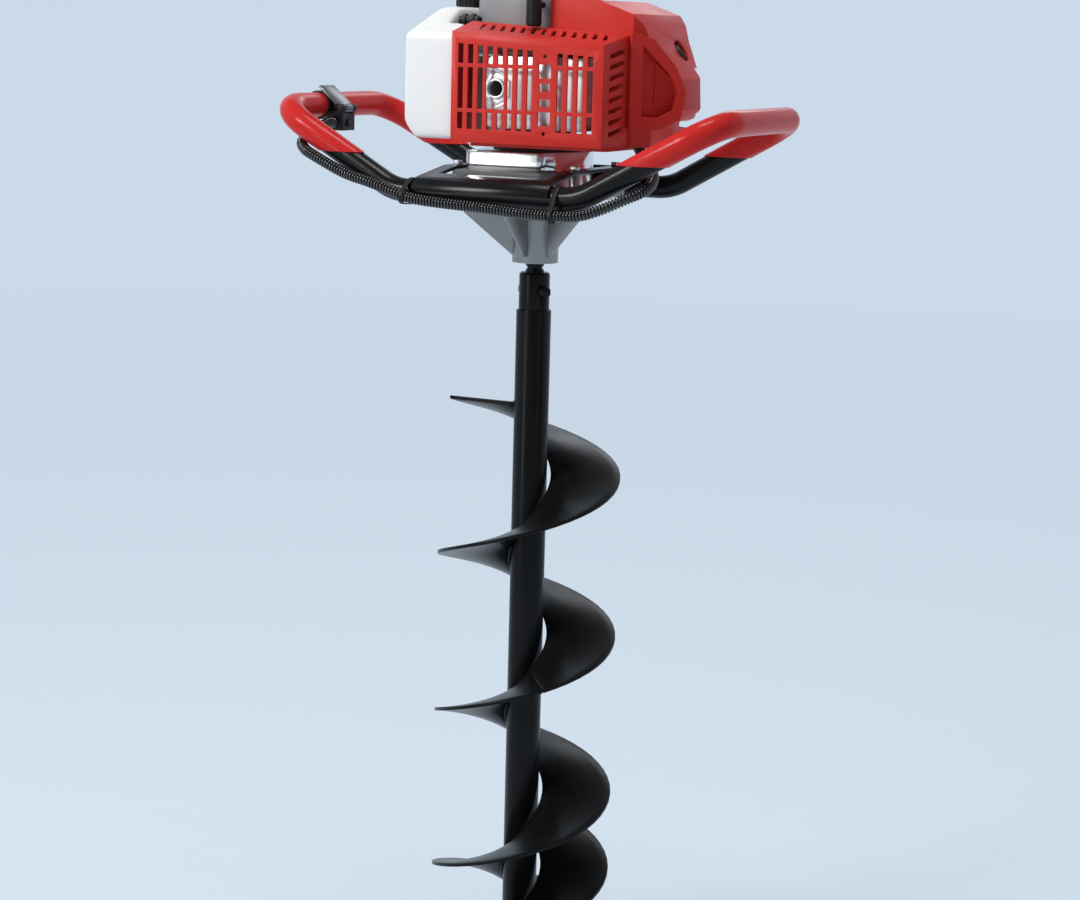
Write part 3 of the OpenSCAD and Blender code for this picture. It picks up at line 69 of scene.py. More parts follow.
# %% camera
LENS_MM, SENSOR_MM = 78.15, 36
CAMERA_AT = (1.0496, -2.3094, 1.0602)
cam_data = bpy.data.cameras.new("camera")
cam_data.sensor_width = SENSOR_MM
cam_data.lens = LENS_MM
camera = bpy.data.objects.new("camera", cam_data)
bpy.context.scene.collection.objects.link(camera)
turn, tilt, roll = math.radians(24.2), math.radians(10.196), math.radians(1.491)
look = Vector((-math.sin(turn) * math.cos(tilt), math.cos(turn) * math.cos(tilt), -math.sin(tilt)))
camera.rotation_mode = "QUATERNION"
camera.rotation_quaternion = look.to_track_quat("-Z", "Y") @ Quaternion((0, 0, 1), roll)
camera.location = CAMERA_AT
bpy.context.scene.camera = camera
bpy.context.scene.view_settings.view_transform = "Standard"
print("camera at", tuple(round(v, 3) for v in camera.location))


# %% lights and stage
def area_light(name, place, aim, size, power):
    data = bpy.data.lights.new(name, "AREA")
    data.shape, data.size, data.size_y, data.energy = "RECTANGLE", size[0], size[1], power
    lamp = bpy.data.objects.new(name, data)
    bpy.context.scene.collection.objects.link(lamp)
    lamp.location = place
    lamp.rotation_mode = "QUATERNION"
    lamp.rotation_quaternion = (Vector(aim) - Vector(place)).to_track_quat("-Z", "Y")


area_light("key", (-1.5, -2.3, 2.5), (0, 0, 0.9), (0.8, 0.8), 58)
area_light("fill", (2.6, -1.2, 1.5), (0, 0, 0.8), (0.22, 1.8), 1.6)
area_light("strip", (-1.35, -2.75, 0.95), (0, 0, 0.95), (0.55, 1.3), 9)
area_light("top", (0.1, -0.3, 3.0), (0, 0, 0.9), (0.8, 0.8), 22)
area_light("back", (-0.4, 2.6, 2.2), (0, 0, 0.9), (0.8, 0.8), 4)

world = bpy.data.worlds.new("studio")
bpy.context.scene.world = world
world.use_nodes = True
wt = world.node_tree
wt.nodes.clear()
w_out = wt.nodes.new("ShaderNodeOutputWorld")
w_soft = wt.nodes.new("ShaderNodeBackground")
w_soft.inputs["Color"].default_value = (0.90, 0.95, 1.0, 1)
w_soft.inputs["Strength"].default_value = 0.16
wt.links.new(w_soft.outputs[0], w_out.inputs["Surface"])

FLOOR_SIZE, BACKDROP_R, BACKDROP_H, OPEN_SIDE = 60, 6.9, 7.0, -0.2
bpy.ops.mesh.primitive_plane_add(size=FLOOR_SIZE, location=(0, 0, 0))
floor = bpy.context.object
floor.name = "floor"
bpy.ops.mesh.primitive_cylinder_add(vertices=96, radius=BACKDROP_R, depth=BACKDROP_H, end_fill_type="NOTHING",
                                    location=(0, 0, 3.45))
backdrop = bpy.context.object
backdrop.name = "backdrop"
bpy.ops.object.mode_set(mode="EDIT")
bpy.ops.mesh.select_all(action="DESELECT")
bpy.ops.object.mode_set(mode="OBJECT")
for face in backdrop.data.polygons:
    face.select = face.center.xy.normalized().dot(look.xy.normalized()) < OPEN_SIDE
bpy.ops.object.mode_set(mode="EDIT")
bpy.ops.mesh.delete(type="FACE")
bpy.ops.mesh.select_all(action="SELECT")
bpy.ops.mesh.flip_normals()
bpy.ops.object.mode_set(mode="OBJECT")
bpy.ops.object.shade_smooth()
print("stage and lights set")

# %% [markdown]
# ## Shared surface effects
# Real surfaces are never one flat colour. Three effects come back on almost every piece here, so each
# is a node group: a fine grain with soft blotches, edges where paint thins over a corner, which on the
# red cover and the throttle lever are pale enough to paint a highlight along the edge, and dust that
# settles on faces that look up. A group only puts out masks, colours and normals.


# %% node groups
def new_group(name, inputs, outputs):
    tree = bpy.data.node_groups.new(name, "ShaderNodeTree")
    for label, kind, default in inputs:
        socket = tree.interface.new_socket(label, in_out="INPUT", socket_type=kind)
        if default is not None:
            socket.default_value = default
    for label, kind in outputs:
        tree.interface.new_socket(label, in_out="OUTPUT", socket_type=kind)
    return tree, tree.nodes.new("NodeGroupInput"), tree.nodes.new("NodeGroupOutput")


def math_node(tree, operation, a, b, clamp=False):
    n = tree.nodes.new("ShaderNodeMath")
    n.operation, n.use_clamp = operation, clamp
    for i, v in enumerate((a, b)):
        if isinstance(v, (int, float)):
            n.inputs[i].default_value = v
        elif v is not None:
            tree.links.new(v, n.inputs[i])
    return n.outputs[0]


grain_tree, gi, go = new_group(
    "surface grain",
    [("Vector", "NodeSocketVector", None), ("Scale", "NodeSocketFloat", 900.0), ("Height", "NodeSocketFloat", 0.1)],
    [("Normal", "NodeSocketVector"), ("Mottle", "NodeSocketFloat")])
fine = grain_tree.nodes.new("ShaderNodeTexNoise")
fine.inputs["Detail"].default_value = 3
soft = grain_tree.nodes.new("ShaderNodeTexNoise")
soft.inputs["Scale"].default_value = 22
soft.inputs["Detail"].default_value = 4
bump = grain_tree.nodes.new("ShaderNodeBump")
bump.inputs["Distance"].default_value = 0.0004
grain_tree.links.new(gi.outputs["Vector"], fine.inputs["Vector"])
grain_tree.links.new(gi.outputs["Vector"], soft.inputs["Vector"])
grain_tree.links.new(gi.outputs["Scale"], fine.inputs["Scale"])
grain_tree.links.new(gi.outputs["Height"], bump.inputs["Strength"])
grain_tree.links.new(fine.outputs["Fac"], bump.inputs["Height"])
grain_tree.links.new(bump.outputs["Normal"], go.inputs["Normal"])
grain_tree.links.new(soft.outputs["Fac"], go.inputs["Mottle"])

# This mask finds edges from the bevel normal and breaks them up with noise. Its colour is rubbed paint on most
# pieces; where that colour is pale, as on the red cover and the throttle lever, it is a painted highlight along the
# edge.
rub_and_highlight_tree, wi, wo = new_group(
    "rubbed edge and painted highlight",
    [("Vector", "NodeSocketVector", None), ("Radius", "NodeSocketFloat", 0.0012), ("Amount", "NodeSocketFloat", 1.0)],
    [("Mask", "NodeSocketFloat")])
bevel = rub_and_highlight_tree.nodes.new("ShaderNodeBevel")
bevel.samples = 4
geo = rub_and_highlight_tree.nodes.new("ShaderNodeNewGeometry")
dot = rub_and_highlight_tree.nodes.new("ShaderNodeVectorMath")
dot.operation = "DOT_PRODUCT"
edge_breakup = rub_and_highlight_tree.nodes.new("ShaderNodeTexNoise")
edge_breakup.inputs["Scale"].default_value = 160
rub_and_highlight_tree.links.new(wi.outputs["Radius"], bevel.inputs["Radius"])
rub_and_highlight_tree.links.new(wi.outputs["Vector"], edge_breakup.inputs["Vector"])
rub_and_highlight_tree.links.new(bevel.outputs["Normal"], dot.inputs[0])
rub_and_highlight_tree.links.new(geo.outputs["Normal"], dot.inputs[1])
bent = math_node(rub_and_highlight_tree, "SUBTRACT", 1.0, dot.outputs["Value"], True)
bent = math_node(rub_and_highlight_tree, "MULTIPLY", bent, 6.0, True)
bent = math_node(rub_and_highlight_tree, "MULTIPLY", bent, edge_breakup.outputs["Fac"])
bent = math_node(rub_and_highlight_tree, "MULTIPLY", bent, wi.outputs["Amount"], True)
rub_and_highlight_tree.links.new(bent, wo.inputs["Mask"])

dust_tree, di, do = new_group(
    "settled dust",
    [("Vector", "NodeSocketVector", None), ("Amount", "NodeSocketFloat", 0.2)],
    [("Mask", "NodeSocketFloat")])
up_geo = dust_tree.nodes.new("ShaderNodeNewGeometry")
split = dust_tree.nodes.new("ShaderNodeSeparateXYZ")
cloud = dust_tree.nodes.new("ShaderNodeTexNoise")
cloud.inputs["Scale"].default_value = 60
cloud.inputs["Detail"].default_value = 6
dust_tree.links.new(di.outputs["Vector"], cloud.inputs["Vector"])
dust_tree.links.new(up_geo.outputs["Normal"], split.inputs[0])
facing = math_node(dust_tree, "MULTIPLY", split.outputs["Z"], 1.0, True)
facing = math_node(dust_tree, "MULTIPLY", facing, cloud.outputs["Fac"])
facing = math_node(dust_tree, "MULTIPLY", facing, di.outputs["Amount"], True)
dust_tree.links.new(facing, do.inputs["Mask"])
print("groups:", [g.name for g in bpy.data.node_groups])

# %% [markdown]
# ## Materials
# Every slot of the record gets one material built from the same parts: a base colour broken up by
# blotches, a roughness that varies with them, a fine bump, an edge showing the metal or paler plastic
# below, which is also a painted highlight where that colour is pale, and a little dust. Paint and dipped
# coatings also get a clear coat, which gives the sharp highlight over a softer base that the photo
# shows on the grips and on the bit.


# %% material builder
DUST_COLOUR = (0.45, 0.42, 0.38)
COAT_ROUGHNESS = 0.06


def material(name, base, dark, rough, metal=0.0, coat=0.0, scale=900, height=0.08, rub_and_highlight=0.0, rub_and_highlight_colour=(0.4, 0.4, 0.4),
             dust=0.06, aniso=0.0, spec=0.5):
    m = bpy.data.materials.new(name)
    m.use_nodes = True
    t = m.node_tree
    t.nodes.clear()
    out = t.nodes.new("ShaderNodeOutputMaterial")
    bsdf = t.nodes.new("ShaderNodeBsdfPrincipled")
    coord = t.nodes.new("ShaderNodeTexCoord")
    grain = t.nodes.new("ShaderNodeGroup")
    grain.node_tree = grain_tree
    grain.inputs["Scale"].default_value = scale
    grain.inputs["Height"].default_value = height
    t.links.new(coord.outputs["Object"], grain.inputs["Vector"])
    tone = t.nodes.new("ShaderNodeMix")
    tone.data_type = "RGBA"
    tone.inputs["A"].default_value = (*dark, 1)
    tone.inputs["B"].default_value = (*base, 1)
    t.links.new(grain.outputs["Mottle"], tone.inputs["Factor"])
    colour = tone.outputs["Result"]
    for tree, amount, shade in ((rub_and_highlight_tree, rub_and_highlight, rub_and_highlight_colour), (dust_tree, dust, DUST_COLOUR)):
        if amount <= 0:
            continue
        effect = t.nodes.new("ShaderNodeGroup")
        effect.node_tree = tree
        effect.inputs["Amount"].default_value = amount
        t.links.new(coord.outputs["Object"], effect.inputs["Vector"])
        over = t.nodes.new("ShaderNodeMix")
        over.data_type = "RGBA"
        over.inputs["B"].default_value = (*shade, 1)
        t.links.new(colour, over.inputs["A"])
        t.links.new(effect.outputs["Mask"], over.inputs["Factor"])
        colour = over.outputs["Result"]
    spread = t.nodes.new("ShaderNodeMapRange")
    spread.inputs["To Min"].default_value = rough * 0.75
    spread.inputs["To Max"].default_value = min(1.0, rough * 1.3)
    t.links.new(grain.outputs["Mottle"], spread.inputs["Value"])
    t.links.new(colour, bsdf.inputs["Base Color"])
    t.links.new(spread.outputs["Result"], bsdf.inputs["Roughness"])
    t.links.new(grain.outputs["Normal"], bsdf.inputs["Normal"])
    bsdf.inputs["Metallic"].default_value = metal
    bsdf.inputs["Coat Weight"].default_value = coat
    bsdf.inputs["Specular IOR Level"].default_value = spec
    bsdf.inputs["Coat Roughness"].default_value = COAT_ROUGHNESS
    bsdf.inputs["Anisotropic"].default_value = aniso
    t.links.new(bsdf.outputs[0], out.inputs["Surface"])
    return m


looks = {
    "bit_black": material("bit paint", (0.007, 0.007, 0.0075), (0.004, 0.004, 0.0045), 0.27, spec=0.14, scale=320,
                          height=0.12, rub_and_highlight=0.25, rub_and_highlight_colour=(0.05, 0.05, 0.05), dust=0.012),
    "frame_black": material("frame powder coat", (0.009, 0.009, 0.0095), (0.005, 0.005, 0.0055), 0.22, spec=0.15,
                            scale=700, height=0.10, rub_and_highlight=0.3, rub_and_highlight_colour=(0.07, 0.07, 0.07), dust=0.015),
    "grip_red": material("dipped red coating", (0.60, 0.028, 0.024), (0.50, 0.018, 0.017), 0.2, coat=0.05, spec=0.08,
                         scale=260, height=0.06, rub_and_highlight=0.1, rub_and_highlight_colour=(0.7, 0.12, 0.1), dust=0.02),
    # The pale edge colour in this red is partly rubbed plastic and partly a painted highlight along the cover's
    # edges.
    "cover_red": material("moulded red", (0.60, 0.036, 0.027), (0.53, 0.026, 0.020), 0.34, spec=0.12, scale=1100,
                          height=0.08, rub_and_highlight=0.2, rub_and_highlight_colour=(0.72, 0.16, 0.12), dust=0.02),
    "polished_alloy": material("polished alloy", (0.86, 0.86, 0.87), (0.70, 0.71, 0.73), 0.14, metal=1.0, scale=500,
                               height=0.03, rub_and_highlight=0.3, rub_and_highlight_colour=(0.95, 0.95, 0.95), dust=0.03, aniso=0.5),
    "cast_alloy": material("cast alloy", (0.31, 0.31, 0.312), (0.21, 0.21, 0.212), 0.31, metal=0.8, scale=900,
                           height=0.45, rub_and_highlight=0.4, rub_and_highlight_colour=(0.75, 0.75, 0.75)),
    "dark_alloy": material("dark casting", (0.16, 0.16, 0.163), (0.12, 0.12, 0.123), 0.5, metal=0.1, spec=0.3,
                           scale=800, height=0.35, rub_and_highlight=0.35, rub_and_highlight_colour=(0.3, 0.3, 0.3)),
    "steel": material("ground steel", (0.62, 0.62, 0.63), (0.46, 0.46, 0.47), 0.3, metal=1.0, scale=1400, height=0.1,
                      rub_and_highlight=0.3, rub_and_highlight_colour=(0.85, 0.85, 0.85), aniso=0.4),
    "silencer_steel": material("pressed steel sheet", (0.92, 0.92, 0.92), (0.80, 0.80, 0.81), 0.42, metal=0.75,
                               scale=600, height=0.06, rub_and_highlight=0.2, rub_and_highlight_colour=(0.9, 0.9, 0.9)),
    "black_plastic": material("black moulding", (0.010, 0.010, 0.0105), (0.007, 0.007, 0.0075), 0.38, spec=0.25,
                              dust=0.01, scale=1600, height=0.25, rub_and_highlight=0.2, rub_and_highlight_colour=(0.12, 0.12, 0.12)),
    "conduit_black": material("conduit plastic", (0.012, 0.012, 0.013), (0.007, 0.007, 0.008), 0.17, spec=0.9,
                              scale=700, height=0.05, dust=0.0),
    "rubber": material("rubber", (0.028, 0.028, 0.028), (0.018, 0.018, 0.018), 0.6, scale=1300, height=0.3, dust=0.1),
    "housing_grey": material("grey moulding", (0.285, 0.285, 0.288), (0.235, 0.236, 0.238), 0.42, scale=1500,
                             height=0.25, rub_and_highlight=0.25, rub_and_highlight_colour=(0.3, 0.3, 0.3)),
    "tank_white": material("blown white", (0.83, 0.83, 0.82), (0.78, 0.78, 0.77), 0.36, scale=500, height=0.08,
                           dust=0.03),
    "reel_white": material("nylon", (0.82, 0.81, 0.77), (0.72, 0.71, 0.67), 0.45, scale=900, height=0.1),
    "foam": material("filter foam", (0.14, 0.14, 0.13), (0.04, 0.04, 0.04), 0.9, scale=2200, height=1.0),
    "rope": material("braided cord", (0.05, 0.05, 0.05), (0.02, 0.02, 0.02), 0.8, scale=2600, height=0.9),
}


def principled(look):
    return next(n for n in look.node_tree.nodes if n.type == "BSDF_PRINCIPLED")


white_skin = principled(looks["tank_white"])
white_skin.inputs["Subsurface Weight"].default_value = 0.25
white_skin.inputs["Subsurface Scale"].default_value = 0.006
pale = material("pale blue paper", (0.24, 0.265, 0.29), (0.225, 0.25, 0.275), 0.8, scale=300, height=0.02, dust=0)
paper = principled(pale)
paper.inputs["Emission Color"].default_value = (0.60, 0.69, 0.79, 1)
paper.inputs["Emission Strength"].default_value = 0.80
paper.inputs["Specular IOR Level"].default_value = 0.0
floor.data.materials.append(pale)
backdrop.data.materials.append(pale)
for name, obj in nodes.items():
    obj.data.materials.clear()
    obj.data.materials.append(looks[slot_of_node[name]])
print(len(looks), "materials")

# %% [markdown]
# ## Soft edges
# A machined or moulded corner is never a sharp line: a casting has a fillet, a plate has a broken
# edge, and that narrow band is what catches the light. Each visible node is copied, its doubled
# vertices are merged, flat facets are dissolved to whole faces and every sharp edge gets a bevel.


# %% helper: refined copy of a node
def only(obj):
    bpy.ops.object.select_all(action="DESELECT")
    obj.select_set(True)
    bpy.context.view_layer.objects.active = obj


def join_into(target, others):
    only(target)
    for other in others:
        other.select_set(True)
    bpy.ops.object.join()


def copy_node(name):
    piece = nodes[name].copy()
    piece.data = nodes[name].data.copy()
    piece.name = name + "_look"
    bpy.context.scene.collection.objects.link(piece)
    piece.parent = None
    piece.matrix_world = nodes[name].matrix_world
    only(piece)
    bpy.ops.object.transform_apply(location=True, rotation=True, scale=True)
    bpy.ops.object.mode_set(mode="EDIT")
    bpy.ops.mesh.select_all(action="SELECT")
    bpy.ops.mesh.remove_doubles(threshold=0.00001)
    if piece.data.has_custom_normals:
        bpy.ops.mesh.customdata_custom_splitnormals_clear()
    bpy.ops.object.mode_set(mode="OBJECT")
    return piece


def finish_piece(piece, name, look=None, smooth=38):
    only(piece)
    bpy.ops.object.shade_smooth_by_angle(angle=math.radians(smooth))
    piece.data.materials.clear()
    piece.data.materials.append(look or looks[slot_of_node[name]])
    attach(piece, body_of_node[name])
    return piece


def soften(name, width, segments=2, angle=32, flat=1.5):
    piece = copy_node(name)
    bpy.ops.object.mode_set(mode="EDIT")
    bpy.ops.mesh.select_all(action="SELECT")
    bpy.ops.mesh.dissolve_limited(angle_limit=math.radians(flat))
    bpy.ops.object.mode_set(mode="OBJECT")
    mod = piece.modifiers.new("edges", "BEVEL")
    mod.width, mod.segments, mod.limit_method = width * MM, segments, "ANGLE"
    mod.angle_limit = math.radians(angle)
    bpy.ops.object.modifier_apply(modifier="edges")
    finish_piece(piece, name)
    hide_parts(name)
    return piece


# %% helpers for blocks and cuts
def block(name, low, high):
    centre = [(a + b) / 2 for a, b in zip(low, high)]
    bpy.ops.mesh.primitive_cube_add(size=1, location=centre)
    obj = bpy.context.object
    obj.name = name
    obj.scale = [b - a for a, b in zip(low, high)]
    bpy.ops.object.transform_apply(location=True, rotation=True, scale=True)
    return obj


def slice_off(obj, point, normal):
    only(obj)
    bpy.ops.object.mode_set(mode="EDIT")
    bpy.ops.mesh.select_all(action="SELECT")
    bpy.ops.mesh.bisect(plane_co=point, plane_no=normal, use_fill=True, clear_outer=True)
    bpy.ops.object.mode_set(mode="OBJECT")


def cut_by(obj, tool):
    only(obj)
    mod = obj.modifiers.new("cut", "BOOLEAN")
    mod.operation, mod.object, mod.solver = "DIFFERENCE", tool, "EXACT"
    bpy.ops.object.modifier_apply(modifier="cut")
    bpy.data.objects.remove(tool)


def round_edges(obj, width, segments, angle=20):
    only(obj)
    mod = obj.modifiers.new("round", "BEVEL")
    mod.width, mod.segments, mod.limit_method = width, segments, "ANGLE"
    mod.angle_limit = math.radians(angle)
    bpy.ops.object.modifier_apply(modifier="round")


# %% soft edges on the plain nodes
edge_widths = {
    "bit_tube": 0.6, "bit_socket": 0.5, "cutter_blades": 0.4, "bit_bolts": 0.5, "pilot_point": 0.6,
    "output_shaft": 0.5, "gear_case_upper": 1.2, "gear_case_lower": 1.4, "case_flange": 1.2, "case_bolts": 0.5,
    "base_plate": 0.7, "throttle_bracket": 0.8, "cable_ties": 0.3, "clutch_housing": 0.8,
    "crankcase_lower": 0.8, "crankcase_upper": 0.8, "cylinder": 0.4, "lower_shroud": 1.2, "muffler_cover": 1.0,
    "muffler": 1.0, "fuel_cap": 0.8, "fuel_hose": 0.5, "carburettor": 0.8,
    "filter_cover": 1.2, "starter_housing": 0.9, "starter_handle": 1.0, "plug_boot": 1.2, "ignition_coil": 0.8,
    "choke_lever": 0.5, "throttle_arm": 0.3, "stop_switch": 0.4,
}
for name, width in edge_widths.items():
    piece = soften(name, width)
    print(name, len(piece.data.polygons), "faces")
lever = soften("throttle_lever", 0.35)
lever.data.materials.clear()
# The lever gets its own darker copy of the steel look: painted shade that keeps the thin plate's top dark. Its edge
# colour at full strength paints a pale highlight along the thin edges.
shaded_lever_steel = material("steel darkened as painted shade", (0.16, 0.16, 0.165), (0.09, 0.09, 0.095), 0.3, metal=1.0, scale=900, height=0.1,
                 rub_and_highlight=1.0, rub_and_highlight_colour=(0.8, 0.8, 0.8))
lever.data.materials.append(shaded_lever_steel)
print("throttle_lever", len(lever.data.polygons), "faces")

# %% [markdown]
# ## Bit: flights and welds
# The flight is a strip of plate, rolled to a helix and welded to the tube at short runs. Its rim is
# sheared, so the edge is only slightly broken. It could be drawn with a screw modifier, but the node
# already has the exact helix, so a copy of it is bevelled. The welds are short rows of beads where the
# inner edge touches the tube; each bead is a flattened ball, pressed into its neighbour.

# %% flights
def long_edges(obj, least):
    for part in (obj.data.polygons, obj.data.vertices):
        part.foreach_set("select", [False] * len(part))
    for edge in obj.data.edges:
        a, b = (obj.data.vertices[i].co for i in edge.vertices)
        edge.select = (a.xy - b.xy).length > least and abs(a.z - b.z) < 0.0005


for name in ("flight_upper", "flight_lower"):
    flight = copy_node(name)
    bpy.ops.object.mode_set(mode="EDIT")
    bpy.ops.mesh.select_all(action="SELECT")
    bpy.ops.mesh.tris_convert_to_quads(face_threshold=math.radians(60), shape_threshold=math.radians(180))
    bpy.ops.mesh.select_mode(type="EDGE")
    bpy.ops.object.mode_set(mode="OBJECT")
    long_edges(flight, 0.05)
    bpy.ops.object.mode_set(mode="EDIT")
    bpy.ops.mesh.subdivide(number_cuts=7)
    bpy.ops.object.mode_set(mode="OBJECT")
    mod = flight.modifiers.new("rim", "BEVEL")
    mod.width, mod.segments, mod.limit_method, mod.angle_limit = 0.0007, 2, "ANGLE", math.radians(50)
    bpy.ops.object.modifier_apply(modifier="rim")
    finish_piece(flight, name)
    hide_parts(name)
    print(name, len(flight.data.polygons), "faces")

# %% weld beads
TOP, PITCH, TUBE = 0.652, 0.180, 0.019
BEADS, BEAD_R, BEAD_OUT, ROW_TURN = 16, 0.0024, 0.0008, 52
ABOVE, BELOW = 0.0052, -0.0012


def bead_row(name, turn_at, lift):
    beads = []
    r = TUBE + BEAD_OUT
    for i in range(BEADS):
        a = math.radians(turn_at - ROW_TURN / 2 + ROW_TURN * i / (BEADS - 1))
        z = TOP + PITCH * (math.degrees(a) - 180) / 360 + lift
        bpy.ops.mesh.primitive_uv_sphere_add(segments=12, ring_count=8, radius=BEAD_R,
                                             location=(r * math.cos(a), r * math.sin(a), z))
        bead = bpy.context.object
        bead.scale = (1, 1, random.uniform(0.8, 1.0))
        beads.append(bead)
    first = beads[0]
    join_into(first, beads[1:])
    bpy.ops.object.transform_apply(location=True, rotation=True, scale=True)
    first.name = name
    bpy.ops.object.shade_smooth()
    first.data.materials.append(looks["bit_black"])
    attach(first, "bit")


weld_turns = [152] + [204 - 360 * k for k in range(1, 4)] + [150 - 360 * k for k in range(1, 4)]
for k, at in enumerate(weld_turns):
    bead_row("weld_over_%d" % k, at, ABOVE)
    bead_row("weld_under_%d" % k, at, BELOW)
print(2 * len(weld_turns), "weld rows")

# %% [markdown]
# ## Handle frame
# One loop of steel tube is bent in two halves, which meet under the base plate. The grips are dipped in
# thick red plastisol, and the dip leaves a soft lip where its surface was, which is level. Each half is
# a tube swept along straight runs with round bends; the coating is a thicker tube on the same line, cut
# level at the lip.

# %% swept tubes
def bent_line(corners, radii, steps=14):
    out = [corners[0]]
    for before, at, after, radius in zip(corners, corners[1:], corners[2:], radii):
        to, away = (before - at).normalized(), (after - at).normalized()
        half = to.angle(away) / 2
        centre = at + (to + away).normalized() * radius / math.sin(half)
        first, last = at + to * radius / math.tan(half) - centre, at + away * radius / math.tan(half) - centre
        out += [centre + first.slerp(last, k / steps).normalized() * radius for k in range(steps + 1)]
    return out + [corners[-1]]


def tube_along(name, points, radius, sides=16):
    bpy.ops.curve.primitive_nurbs_path_add(location=(0, 0, 0))
    path = bpy.context.object
    path.data.splines.clear()
    line = path.data.splines.new("POLY")
    line.points.add(len(points) - 1)
    for point, place in zip(line.points, points):
        point.co = (*place, 1)
    path.data.bevel_depth = radius
    path.data.bevel_resolution = sides // 4
    path.data.use_fill_caps = True
    only(path)
    bpy.ops.object.convert(target="MESH")
    obj = bpy.context.object
    obj.name = name
    return obj


# %% tubes and coatings
CORNERS = [(0.15, -128, 890), (105, -128, 890), (250, -120, 971), (250, 120, 971), (105, 128, 890), (0.15, 128, 890)]
BENDS = (0.060, 0.042, 0.042, 0.060)
HANDLE_R, COAT_R, DIP_LEVEL = 0.0125, 0.0137, 0.927
for side, sign in (("left", -1), ("right", 1)):
    line = bent_line([Vector((sign * x, y, z)) * MM for x, y, z in CORNERS], BENDS)
    tube = tube_along(side + "_handle_tube_look", line, HANDLE_R, 40)
    finish_piece(tube, side + "_handle_tube", smooth=40)
    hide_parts(side + "_handle_tube")
    coat = tube_along(side + "_grip_look", line, COAT_R, 40)
    slice_off(coat, (0, 0, DIP_LEVEL), (0, 0, -1))
    round_edges(coat, 0.0006, 3, 50)
    finish_piece(coat, side + "_grip", smooth=40)
    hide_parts(side + "_grip")
    print(side, len(tube.data.polygons), len(coat.data.polygons), "faces")

# %% [markdown]
# ## Throttle conduit
# The throttle cable runs in a ribbed plastic conduit: a thin tube corrugated into rings, so that it can
# bend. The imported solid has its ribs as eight-sided rings. Here a round core follows the same route as
# a curve, and a torus sits on it every 3.5 mm.

# %% conduit route
route = [(-230, -38.3, 952), (-230, -51.3, 952), (-232, -80, 944), (-228, -108, 935), (-214, -128, 928),
         (-195, -138, 921), (-158, -143, 906), (-125, -147, 898), (-97, -148, 890), (-75, -148.5, 884),
         (-43, -148.5, 881), (10, -147, 878), (50, -147, 875), (90, -147, 874), (115, -146, 876),
         (138, -141, 884), (158, -132, 894), (170, -120, 901), (172, -100, 908), (165, -80, 918),
         (150, -62, 929), (136, -46, 940), (126, -36, 951)]
route = [Vector(p) * MM for p in route]


def through(points, steps):
    out = []
    for i in range(len(points) - 1):
        a, b, c, d = (points[max(i - 1, 0)], points[i], points[i + 1], points[min(i + 2, len(points) - 1)])
        for k in range(steps):
            t = k / steps
            out.append(0.5 * (2 * b + (c - a) * t + (2 * a - 5 * b + 4 * c - d) * t * t
                              + (3 * b - a - 3 * c + d) * t ** 3))
    return out + [points[-1]]


def evenly(points, gap):
    out, left = [], gap / 2
    for a, b in zip(points, points[1:]):
        span = (b - a).length
        while left <= span:
            out.append((a.lerp(b, left / span), (b - a).normalized()))
            left += gap
        left -= span
    return out


RIB_GAP, CORE_R, RING_R, RIB_R = 0.0035, 0.0039, 0.0046, 0.0014
centre_line = through(route, 12)
ribs = evenly(centre_line, RIB_GAP)
print(len(ribs), "ribs on the conduit")


# %% conduit rings and core
conduit = tube_along("throttle_conduit_look", centre_line, CORE_R)
rings = []
for place, heading in ribs:
    bpy.ops.mesh.primitive_torus_add(major_segments=18, minor_segments=8, major_radius=RING_R, minor_radius=RIB_R,
                                     location=place, rotation=heading.to_track_quat("Z", "Y").to_euler())
    rings.append(bpy.context.object)
join_into(conduit, rings)
bpy.ops.object.transform_apply(location=True, rotation=True, scale=True)
finish_piece(conduit, "throttle_conduit", smooth=80)
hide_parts("throttle_conduit")
print("conduit", len(conduit.data.polygons), "faces")

# %% [markdown]
# ## Engine shroud
# The big red shroud is one moulding with flat panels and folded corners. The folds stay crisp, with a
# narrow round on each. The corner at the camera's right has a three-sided recess behind a raised rim,
# and a bead in the recess stiffens the thin wall. Insetting the wall's faces would tear at the folds, so
# the bead is a thin tube along a line laid on the wall, and the rim is a flat outline with a hole, given
# depth and a rounded edge as a curve.

# %% shroud
shroud = soften("engine_shroud", 1.4, segments=3, angle=24)
only(shroud)
bpy.ops.object.shade_smooth_by_angle(angle=math.radians(20))
FOLDS = [(0.134, -0.067), (0.150, -0.048), (0.163, -0.034), (0.176, -0.024)]


def on_wall(x, z):
    for (x0, y0), (x1, y1) in zip(FOLDS, FOLDS[1:]):
        if x <= x1:
            return Vector((x, y0 + (y1 - y0) * (x - x0) / (x1 - x0), z))


def wall_loop(corners, step=0.002):
    out = []
    for (x0, z0), (x1, z1) in zip(corners, corners[1:] + corners[:1]):
        count = max(2, round(math.hypot(x1 - x0, z1 - z0) / step))
        out += [on_wall(x0 + (x1 - x0) * k / count, z0 + (z1 - z0) * k / count) for k in range(count)]
    return out + out[:2]


field = [(0.1515, 1.027), (0.1515, 0.988), (0.160, 0.986), (0.1685, 0.989), (0.1655, 1.008)]
bead = tube_along("shroud_field_bead", wall_loop(field), 0.0016)
finish_piece(bead, "engine_shroud", smooth=50)
print("field bead", len(bead.data.polygons), "faces")

